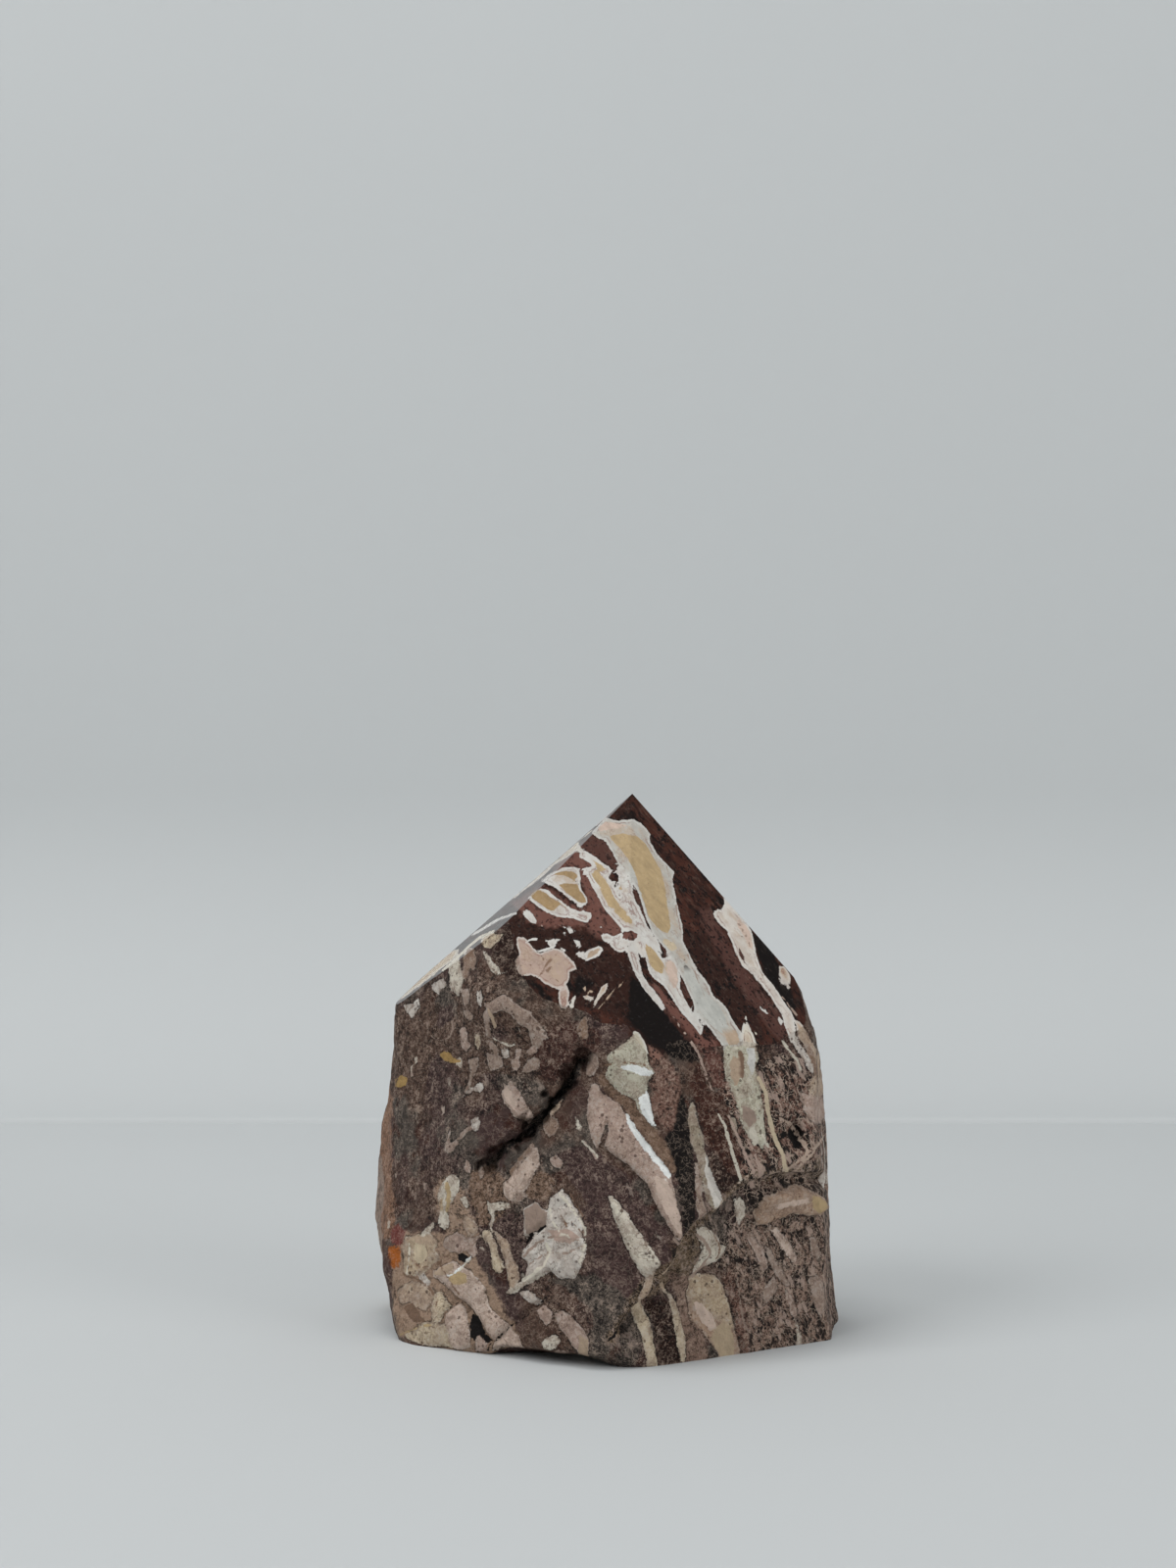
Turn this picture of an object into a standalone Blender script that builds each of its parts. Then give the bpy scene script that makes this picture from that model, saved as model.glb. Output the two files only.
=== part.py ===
# A zebra jasper point: a rough lump of banded breccia, cut flat underneath so that it stands,
# with its top ground and polished into six flat facets that meet at a tip.
# Metres, +Z up. The origin is under the middle of the stone, on the surface that it stands on.

import math

import bmesh
import bpy
from mathutils import Vector, noise

MM = 0.001
BACKWARD = Vector((0.0, 1.0, 0.0))

# Driving dimensions, in millimetres
TIP = (5.4, 0.0, 100.2)         # where the polished facets meet
BLOCK = 260.0                   # the cube that the fracture faces are cut from
SPARE = 12.0                    # stone left above the tip and under the base until they are cut
GRAIN = 1.1                     # spacing of the rough surface's points before it is thinned out
EDGE_ROUNDS = 4                 # smoothing passes that wear the edges between fracture faces
ROUGH_FACES = 14000             # triangles on the whole rough lump, before the facets are cut

# Polished facets: the bearing that each faces, anticlockwise from +X, and its rise above level
FACETS = {
    "left": (189.2, 46.8),
    "front": (266.5, 31.1),
    "front right": (296.6, 27.6),
    "right": (10.0, 40.0),
    "back": (78.0, 44.0),
    "back left": (130.0, 45.0),
}

# Fracture faces of the rough sides: bearing, rise, and a point that the face passes through
SIDES = {
    "left front": (222.0, 9.0, (-38.6, -8.3, 0.0)),
    "front left": (239.0, 7.5, (-3.5, -32.2, 0.0)),
    "front": (262.0, 8.0, (3.0, -32.2, 8.0)),
    "front right": (300.0, 14.0, (25.0, -16.2, 57.0)),
    "right": (351.0, 3.0, (40.7, -8.0, 25.0)),
    "right brow": (357.0, 18.3, (35.6, -5.0, 66.6)),
    "back right": (42.0, 6.0, (34.0, 22.0, 20.0)),
    "back": (86.0, 5.0, (0.0, 31.0, 20.0)),
    "back left": (138.0, 7.0, (-42.0, 20.0, 20.0)),
    "left": (191.0, 4.8, (-44.2, 18.0, 28.0)),
    "lower left": (188.0, -12.0, (-37.3, -8.5, 0.0)),
    "chip under the front": (250.0, -58.0, (-7.0, -27.5, 1.2)),
    "chip at the back foot": (66.0, -40.0, (22.0, 27.0, 4.0)),
    "flake off the back": (112.0, 19.0, (-16.0, 29.5, 40.0)),
    "flake off the back right": (48.0, 24.0, (31.0, 24.0, 60.0)),
}

# The lip of the ledge that crosses the lower right of the front, as (x, z) seen from the front.
# Below it the stone is broken back to a second face.
LEDGE = [(-6.0, -3.0), (-1.5, 4.5), (2.6, 8.8), (6.5, 11.7), (10.8, 16.1), (13.4, 19.9), (16.4, 24.3),
         (20.5, 27.4), (23.6, 30.0), (27.0, 31.9), (32.5, 32.8), (41.0, 33.0), (60.0, 33.0)]
UNDERCUT = 1.1                  # how steeply the underside of the ledge falls as it goes in
BELOW_LEDGE = (301.0, 3.0, (25.2, -19.3, 0.0))
FRONT_SIDES = ("left front", "front left", "front", "front right")

# The cleft that runs down to the left across the front
CLEFT = [(-4.9, 53.9), (-8.0, 47.8), (-13.1, 42.4), (-19.1, 37.2), (-21.0, 34.6)]
CLEFT_DEPTH = 3.8
CLEFT_ABOVE = 6.0               # the stone rolls over into the cleft from above, over this distance
CLEFT_BELOW = 2.6               # and comes out of it steeply below,
CLEFT_SHELF = 1.0               # to a surface that lies this much lower
CLEFT_RUN_IN = 6.0              # length over which each end of the cleft dies away

# Pits and lumps on the front: the middle as (x, z), the half widths, and the depth.
# A lump has a negative depth.
HOLLOWS = {
    "pit by the right edge": ((34.0, 39.6), (3.2, 3.0), 2.2),
    "pit under the right brow": ((36.0, 47.0), (4.5, 4.5), 1.0),
    "dish below the cleft": ((-12.0, 30.0), (9.0, 9.0), 1.0),
    "dish in the middle": ((0.0, 47.0), (7.0, 7.0), 1.0),
    "roll along the right": ((32.5, 27.6), (9.5, 3.6), -1.6),
    "lump above the cleft": ((-17.0, 63.0), (16.0, 18.0), -3.5),
    "swelling above the ledge": ((12.0, 32.0), (11.0, 11.0), -1.2),
}

# Waves of the rough surface: wavelength, height and the offset that picks each pattern
WAVES = [(26.0, 1.2, 3.1), (11.0, 0.55, 7.7), (5.0, 0.28, 12.9)]
HACKLE = (9.0, 0.55, 21.3)      # sharp-edged steps where the stone tore


def facing(bearing, rise):
    """The unit vector that points towards a bearing and rises above level, both in degrees."""
    turn, lift = math.radians(bearing), math.radians(rise)
    return Vector((math.cos(turn) * math.cos(lift), math.sin(turn) * math.cos(lift), math.sin(lift)))


def ease(t):
    """0 below 0, 1 above 1, and smooth between."""
    t = min(1.0, max(0.0, t))
    return t * t * (3.0 - 2.0 * t)


def cut(bm, point, normal):
    """Cuts off what lies on the outer side of a plane, and closes the solid with a flat face."""
    sliced = bmesh.ops.bisect_plane(
        bm,
        geom=bm.verts[:] + bm.edges[:] + bm.faces[:],
        dist=1e-6,
        plane_co=Vector(point) * MM,
        plane_no=normal,
        clear_outer=True,
    )
    rim = [e for e in sliced["geom_cut"] if isinstance(e, bmesh.types.BMEdge) and e.is_boundary]
    if rim:
        bmesh.ops.holes_fill(bm, edges=rim, sides=0)


def depth_on(side, x, z):
    """The y at which a line of sight through (x, z) meets the plane of a face."""
    bearing, rise, point = side
    normal, start = facing(bearing, rise), Vector(point)
    return start.y - (normal.x * (x - start.x) + normal.z * (z - start.z)) / normal.y


def ledge_cutter():
    """The space below the ledge: its lip swept back along the underside, to the second face."""
    outline = LEDGE + [(LEDGE[-1][0], -2.0 * SPARE), (LEDGE[0][0], -2.0 * SPARE)]
    sweep = Vector((0.0, 1.0, -UNDERCUT))
    bearing, rise, point = BELOW_LEDGE
    inner = facing(bearing, rise)
    bm = bmesh.new()
    near, far = [], []
    for x, z in outline:
        lip = Vector((x, max(depth_on(SIDES[name], x, z) for name in FRONT_SIDES), z))
        reach = (Vector(point) - lip).dot(inner) / sweep.dot(inner)
        near.append(bm.verts.new((lip - sweep * SPARE * 2.0) * MM))
        far.append(bm.verts.new((lip + sweep * reach) * MM))
    bm.faces.new(near)
    bm.faces.new(reversed(far))
    for i in range(len(outline)):
        j = (i + 1) % len(outline)
        bm.faces.new((near[j], near[i], far[i], far[j]))
    bmesh.ops.recalc_face_normals(bm, faces=bm.faces[:])
    mesh = bpy.data.meshes.new("space below the ledge")
    bm.to_mesh(mesh)
    bm.free()
    return bpy.data.objects.new("space below the ledge", mesh)


def fracture_block():
    """The lump as it broke out of the ground: one flat face for each fracture."""
    bm = bmesh.new()
    bmesh.ops.create_cube(bm, size=BLOCK * MM)
    for bearing, rise, point in SIDES.values():
        cut(bm, point, facing(bearing, rise))
    cut(bm, (0.0, 0.0, -SPARE), Vector((0.0, 0.0, -1.0)))
    cut(bm, (0.0, 0.0, TIP[2] + SPARE), Vector((0.0, 0.0, 1.0)))
    mesh = bpy.data.meshes.new("fracture block")
    bm.to_mesh(mesh)
    bm.free()
    cutter = ledge_cutter()
    bpy.context.scene.collection.objects.link(cutter)
    block = modified(mesh, "BOOLEAN", operation="DIFFERENCE", solver="EXACT", object=cutter)
    bpy.data.objects.remove(cutter)
    return block


def modified(mesh, kind, **settings):
    """The mesh that one modifier makes of another mesh."""
    worked = bpy.data.objects.new("worked", mesh)
    bpy.context.scene.collection.objects.link(worked)
    modifier = worked.modifiers.new(kind, kind)
    for name, value in settings.items():
        setattr(modifier, name, value)
    graph = bpy.context.evaluated_depsgraph_get()
    made = bpy.data.meshes.new_from_object(worked.evaluated_get(graph))
    bpy.data.objects.remove(worked)
    return made


def beside(line, x, z):
    """Distance from a point to a line of (x, z) points, and the side: positive above the line."""
    nearest, side = 1e9, 1.0
    here = Vector((x, z))
    for a, b in zip(line, line[1:]):
        start, along = Vector(a), Vector(b) - Vector(a)
        share = min(1.0, max(0.0, (here - start).dot(along) / along.length_squared))
        gap = here - (start + along * share)
        if gap.length < nearest:
            nearest = gap.length
            rightward = along if along.x > 0 else -along
            side = 1.0 if rightward.cross(gap) > 0 else -1.0
    return nearest, side


def cleft_depth(x, z):
    """How deep the cleft is: a slow roll into it from above, then a steep wall up to a shelf."""
    distance, side = beside(CLEFT, x, z)
    if side > 0:
        depth = CLEFT_DEPTH * max(0.0, 1.0 - distance / CLEFT_ABOVE) ** 1.6
    else:
        shelf = CLEFT_SHELF * (1.0 - ease(distance / 14.0))
        depth = shelf + (CLEFT_DEPTH - shelf) * (1.0 - ease(distance / CLEFT_BELOW))
    high = ease((CLEFT[0][1] + 2.0 - z) / CLEFT_RUN_IN)
    low = ease((x - CLEFT[-1][0] + 2.0) / CLEFT_RUN_IN)
    return depth * high * low


def hollow_depth(x, z):
    """Depth of the pits at a place on the front, less the height of the lumps."""
    depth = 0.0
    for (cx, cz), (wide, high), most in HOLLOWS.values():
        depth += most * (1.0 - ease(math.hypot((x - cx) / wide, (z - cz) / high)))
    return depth


def roughness(place):
    """Height of the torn surface at a place in the stone, in millimetres."""
    height = 0.0
    for length, high, offset in WAVES:
        height += high * noise.noise(place / length + Vector((offset, offset, offset)))
    length, high, offset = HACKLE
    cells = noise.voronoi(place / length + Vector((offset, 0.0, offset)))[0]
    return height + high * (cells[1] - cells[0] - 0.4)


def roughen(mesh):
    """Moves the worn block's points out or in, to the broken surface."""
    bm = bmesh.new()
    bm.from_mesh(mesh)
    for _ in range(EDGE_ROUNDS):
        bmesh.ops.smooth_vert(bm, verts=bm.verts[:], factor=0.5, use_axis_x=True, use_axis_y=True, use_axis_z=True)
    bm.normal_update()
    moved = []
    for v in bm.verts:
        place = v.co / MM
        frontness = ease((-v.normal.y - 0.15) / 0.35)
        inward = 0.0
        if frontness > 0.0:
            x, z = place.x, place.z
            inward = frontness * (cleft_depth(x, z) + hollow_depth(x, z))
        moved.append(v.co + (v.normal * roughness(place) + BACKWARD * inward) * MM)
    for v, place in zip(bm.verts, moved):
        v.co = place
    bm.to_mesh(mesh)
    bm.free()
    return mesh


def centre(bm):
    """Slides the stone level, so that the origin is under the middle of it."""
    xs, ys = [v.co.x for v in bm.verts], [v.co.y for v in bm.verts]
    middle = Vector(((min(xs) + max(xs)) / 2.0, (min(ys) + max(ys)) / 2.0, 0.0))
    bmesh.ops.translate(bm, verts=bm.verts[:], vec=-middle)


def zebra_jasper():
    """The finished stone: the rough lump with its facets and its base cut flat."""
    worn = modified(fracture_block(), "REMESH", mode="VOXEL", voxel_size=GRAIN * MM)
    rough = roughen(worn)
    triangles = sum(len(p.vertices) - 2 for p in rough.polygons)
    thinned = modified(rough, "DECIMATE", ratio=ROUGH_FACES / triangles)
    bm = bmesh.new()
    bm.from_mesh(thinned)
    for bearing, rise in FACETS.values():
        cut(bm, TIP, facing(bearing, rise))
    cut(bm, (0.0, 0.0, 0.0), Vector((0.0, 0.0, -1.0)))
    centre(bm)
    mesh = bpy.data.meshes.new("zebra_jasper")
    bm.to_mesh(mesh)
    bm.free()
    return bpy.data.objects.new("zebra_jasper", mesh)


def stone_material():
    """Dark maroon brown, half polished."""
    material = bpy.data.materials.new("zebra jasper")
    material.use_nodes = True
    shader = material.node_tree.nodes["Principled BSDF"]
    shader.inputs["Base Color"].default_value = (0.16, 0.12, 0.11, 1.0)
    shader.inputs["Roughness"].default_value = 0.5
    shader.inputs["Metallic"].default_value = 0.0
    return material


def main():
    for old in list(bpy.data.objects):
        bpy.data.objects.remove(old)
    stone = zebra_jasper()
    stone.data.materials.append(stone_material())
    bpy.context.scene.collection.objects.link(stone)


main()
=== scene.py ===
# A zebra jasper point on a pale sweep: the fine surface of the stone, with its bands and clasts.
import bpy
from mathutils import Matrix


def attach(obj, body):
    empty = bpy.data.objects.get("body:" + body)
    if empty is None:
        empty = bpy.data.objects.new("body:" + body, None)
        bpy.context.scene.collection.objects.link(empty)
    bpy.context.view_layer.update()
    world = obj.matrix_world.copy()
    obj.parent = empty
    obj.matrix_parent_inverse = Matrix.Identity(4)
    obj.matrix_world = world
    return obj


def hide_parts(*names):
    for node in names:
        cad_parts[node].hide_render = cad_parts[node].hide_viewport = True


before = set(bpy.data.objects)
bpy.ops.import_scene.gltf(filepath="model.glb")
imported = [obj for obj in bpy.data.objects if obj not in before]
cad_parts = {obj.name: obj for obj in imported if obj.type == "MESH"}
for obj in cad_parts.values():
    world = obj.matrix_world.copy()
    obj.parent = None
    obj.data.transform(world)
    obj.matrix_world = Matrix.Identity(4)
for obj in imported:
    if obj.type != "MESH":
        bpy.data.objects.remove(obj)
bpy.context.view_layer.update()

import math

import bmesh
import bpy
import numpy as np
from mathutils import Vector, noise

MM = 0.001
NODE = "zebra_jasper"

# Camera: level with the stone, at the photograph's distance. Places in the photograph are in its
# pixels, and the camera's focal length in pixels follows from its lens.
PHOTO_WIDE, PHOTO_HIGH = 1200, 1600
LENS, SENSOR = 55.0, 36.0
CAMERA_AT = Vector((-0.003345, -0.449947, 0.102))
FOCAL_PX = LENS / SENSOR * PHOTO_HIGH
MM_PER_PX = 0.172               # on the front of the stone

# Polished facets, as they are cut: bearing anticlockwise from +X, and rise above level
FACETS = {
    "left": (189.2, 46.8),
    "front": (266.5, 31.1),
    "front right": (296.6, 27.6),
    "right": (10.0, 40.0),
    "back": (78.0, 44.0),
    "back left": (130.0, 45.0),
}
TRACED_FACETS = ("front", "front right")
BASE = len(FACETS) + 1          # mark of the base's faces, after the facets' own
FLAT = 2e-5                     # how far from a plane a corner may be, in metres

# Lengths that edges are split down to, in millimetres, and the steps on the way
POLISHED_EDGE, ROUGH_EDGE, FAR_EDGE, BASE_EDGE = 0.55, 0.75, 1.15, 2.5
SPLIT_STEPS = (4.0, 2.8, 2.0, 1.42, 1.0)
SMOOTHING = 6

FLOW = (0.537, 0.0, -0.843)     # the way the bands run
ACROSS = (0.843, 0.0, 0.537)
DRAWN_OUT = 0.36                # how much the grain is drawn out along the flow

# Bands where the photograph doesn't show them: place across the flow, half width, colour; then the
# waves in their place and in their width, each with its height, size and shift in the noise
SHEETS = ((51.0, 2.6, "chalk"), (40.0, 0.6, "ivory"), (28.0, 1.6, "cream"), (11.0, 0.9, "dusky pink"),
          (-4.0, 1.5, "chalk"))
SHEET_WAVES = ((2.4, 17.0, (2, 5, 9)), (0.8, 5.0, (1, 7, 3)))
SHEET_TEARS = ((0.5, 9.0, (8, 2, 4)), (0.3, 4.0, (6, 6, 1)))

# Slivers there: how many, how far they lean off the flow and along Y, log of their length in
# millimetres, its spread, their width as a share of the length, how far they bend, how far out their
# sides are and by how much that varies, and how deep the core lies as a share of the width and more
SHARD_SEED, SHARD_COUNT, SHARD_SIDES, SHARDS_CORED = 41, 400, 7, 0.4
SHARD_BEND, SHARD_REACH, SHARD_REACH_VARIES, CORE_SHARE, CORE_MORE = 0.35, 0.72, 0.28, 0.22, 0.15
SHARD_LEAN, SHARD_LEAN_Y = 0.33, 0.25
SHARD_LENGTH, SHARD_LENGTH_SPREAD, SHARD_WIDTH = 1.15, 0.62, (0.18, 0.5)
SHARD_TINTS = ("white", "chalk", "ivory", "cream", "dusky pink", "dusky pink", "rose", "green ivory",
               "buff", "brown")

# Markings: their edge value where there are none, how far they end outside their outline on a face
# that is turned away, in millimetres, and how far round an outline it is measured, in pixels
UNMARKED, TURNED_AWAY = -9.0, 3.0
NEAR_OUTLINE, NEAR_GROUND, NEAR_CRACK = 12, 30, 20

# How squarely a face is turned to the camera where the photograph's markings start to show, and over
# how much more they come in
SEEN_FROM, SEEN_OVER = -0.02, 0.1

# Clasts that stand proud of the broken face, in millimetres
RELIEF = {
    "cream finger": 0.7, "crumpled clast": 0.6, "green fan": 0.4, "big pink finger": 0.35, "diamond": 0.4,
    "arch": 0.3, "cream band": 0.3, "thin white clast": 0.3, "upright cream": 0.3, "bent tan, left": 0.4,
    "bent tan, right": 0.4, "tail": 0.4, "big pale bottom": 0.4, "pink low left": 0.4,
    "pink below the cleft": 0.3, "lens under the ledge": 0.8, "tan patch": 0.25, "bent wisp": 0.2,
    "cream corner region": 0.3, "folds under the ledge": 0.5, "strip below it": 0.3, "second strip": 0.3,
    "small pale low": 0.4,
}

# Creased clasts: how deep their creases are, in millimetres
CREASED = {"crumpled clast": 0.55, "folds under the ledge": 0.6, "cream corner region": 0.4,
           "cream band": 0.35, "upright cream": 0.4, "tan patch": 0.3}

# Relief of the rock itself, in millimetres: soft waves of two sizes, chips, clasts out of sight, how
# softly a clast's relief starts, and the size of its creases
TORN_WAVES = ((0.16, 3.4, (4, 9, 2)), (0.09, 1.5, (7, 1, 5)))
CHIPS, CHIP_SIZE, CHIP_LIMIT = 0.20, 2.6, 0.6
FAR_RELIEF, RELIEF_SOFT, CREASE_SIZE = 0.10, 1.1, 1.9

# The solid's cleft in millimetres, as in the part's source but centred, and how much of it is filled.
# It is then cut again as the narrow crack of the photograph, in millimetres deep and pixels half wide.
CLEFT = [(-5.345, 53.9), (-8.445, 47.8), (-13.545, 42.4), (-19.545, 37.2), (-21.445, 34.6)]
CLEFT_DEPTH, CLEFT_ABOVE, CLEFT_BELOW, CLEFT_SHELF = 3.8, 6.0, 2.6, 1.0
CLEFT_RUN_IN, CLEFT_PAST_END, CLEFT_FRONT, CLEFT_FILLED = 6.0, 2.0, -10.0, 0.92
CRACK_DEPTH, CRACK_HALF, CRACK_RUN_OUT = 3.8, 11.0, 12.0
CRACK_WANDERS = ((13.0, 3.4, (9, 3, 3)), (9.0, 1.5, (3, 9, 3)))
CRACK = [(598, 1076), (588, 1088), (578, 1106), (570, 1119), (555, 1138), (542, 1152), (522, 1167),
         (506, 1180), (494, 1192)]

# Creases pressed into the broken face: depth in millimetres, half width in pixels, line
CREASES = {
    "crack across the bottom": (0.7, 6, [(503, 1372), (519, 1354), (535, 1342), (552, 1328)]),
    "crumpled crack": (0.6, 5, [(535, 1270), (542, 1260), (549, 1257), (556, 1251)]),
    "beside the pink": (0.6, 6, [(450, 1346), (456, 1335), (468, 1328), (478, 1333), (486, 1345),
        (500, 1369)]),
    "right of the finger": (0.5, 7, [(612, 1170), (626, 1182), (650, 1202), (662, 1216), (676, 1250),
        (690, 1270)]),
    "pit": (1.2, 11, [(812, 1153), (816, 1170)]),
    "under the lip": (2.1, 12, [(848, 1204), (820, 1206), (795, 1207), (770, 1214), (752, 1226),
        (736, 1244), (718, 1252), (704, 1268), (694, 1290), (686, 1312), (670, 1328), (652, 1340),
        (636, 1358)]),
}

# Chip off the front lower edge, in millimetres: where it starts and ends along X, and where along Y,
# with how softly, and how high it reaches and lifts the edge
CHIP_START, CHIP_START_SOFT, CHIP_END, CHIP_END_SOFT = -22.0, 4.0, 3.0, 8.0
CHIP_BEHIND, CHIP_BEHIND_SOFT, CHIP_HIGH, CHIP_LIFT = -20.0, 3.0, 3.0, 1.5

# Backdrop in metres: how far its walls are from the stone, the round of its corners and of its cove
SWEEP_COLOUR = (0.53, 0.547, 0.549)
WALL_SIDE, WALL_BACK, WALL_FRONT, WALL_HIGH = 1.30, 0.370, 1.30, 0.60
CORNER, CORNER_STEPS, COVE, COVE_STEPS = 0.25, 10, 0.100, 14

# Softboxes: place, aim, size and watts
LIGHTS = {
    "key": ((-0.75, -0.50, 0.75), (0.0, 0.0, 0.05), 0.65, 5.0),
    "top": ((-0.15, -0.05, 1.15), (0.0, 0.05, 0.0), 0.60, 4.6),
    "fill": ((0.95, -0.60, 0.35), (0.0, 0.0, 0.05), 0.50, 4.2),
}
ROOM_LIGHT, ROOM_COLOUR = 0.41, (0.93, 0.97, 1.0, 1.0)

# What sets the polished facets apart from the broken faces: how ragged the edges of the markings are,
# in millimetres, coarse and fine, and the strength of what is mixed in
FINISH = {
    "polished": {"ragged": 1.2, "ragged fine": 0.36, "dark flecks": 0.90, "pale flecks": 0.30,
                 "outline": 0.30, "stain": 0.30, "rim": 0.60, "crack": 0.20, "index": 1.54},
    # On the broken faces the outline is partly painted shade round the raised clasts, and the rim a faint
    # painted highlight on their edges.
    "broken": {"ragged": 1.7, "ragged fine": 0.55, "dark flecks": 0.86, "pale flecks": 0.66,
               "outline": 0.75, "stain": 0.50, "rim": 0.12, "crack": 0.55, "index": 1.5},
}
SPECULAR = 0.22

# Colours as they look on screen, 0 to 255
PALETTE = {
    # bright white: white rock, brightened as a painted highlight on the fan's ridges.
    "white": (204, 201, 195), "bright white": (232, 233, 230), "chalk": (208, 201, 192),
    "ivory": (208, 200, 184), "green ivory": (192, 188, 168), "cream": (202, 185, 158),
    "tan": (180, 156, 119), "dark tan": (160, 134, 98), "buff": (178, 156, 134), "pink": (202, 180, 165),
    "dusky pink": (153, 133, 120), "rose": (176, 153, 140), "mauve": (106, 70, 61),
    "deep mauve": (78, 50, 43), "maroon": (68, 36, 26), "dark maroon": (45, 23, 16), "glass": (12, 4, 2),
    "warm matrix": (92, 70, 59), "purple matrix": (78, 58, 55), "grey matrix": (86, 77, 70),
    "pale matrix": (140, 114, 100), "pink matrix": (122, 90, 78), "rubble": (164, 137, 116),
    "band": (184, 183, 176), "dim ivory": (152, 141, 122), "warm tan": (166, 138, 116),
    "warm cream": (180, 160, 134), "fleck": (188, 166, 149), "olive": (118, 98, 78),
    # side: the left side's reddish ochre, partly painted lighter where the light falls on that side.
    "shade": (20, 15, 13), "side": (146, 110, 88), "ochre": (172, 140, 88), "orange": (170, 94, 34),
    "red": (122, 66, 60), "brown": (128, 102, 84),
}
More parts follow.
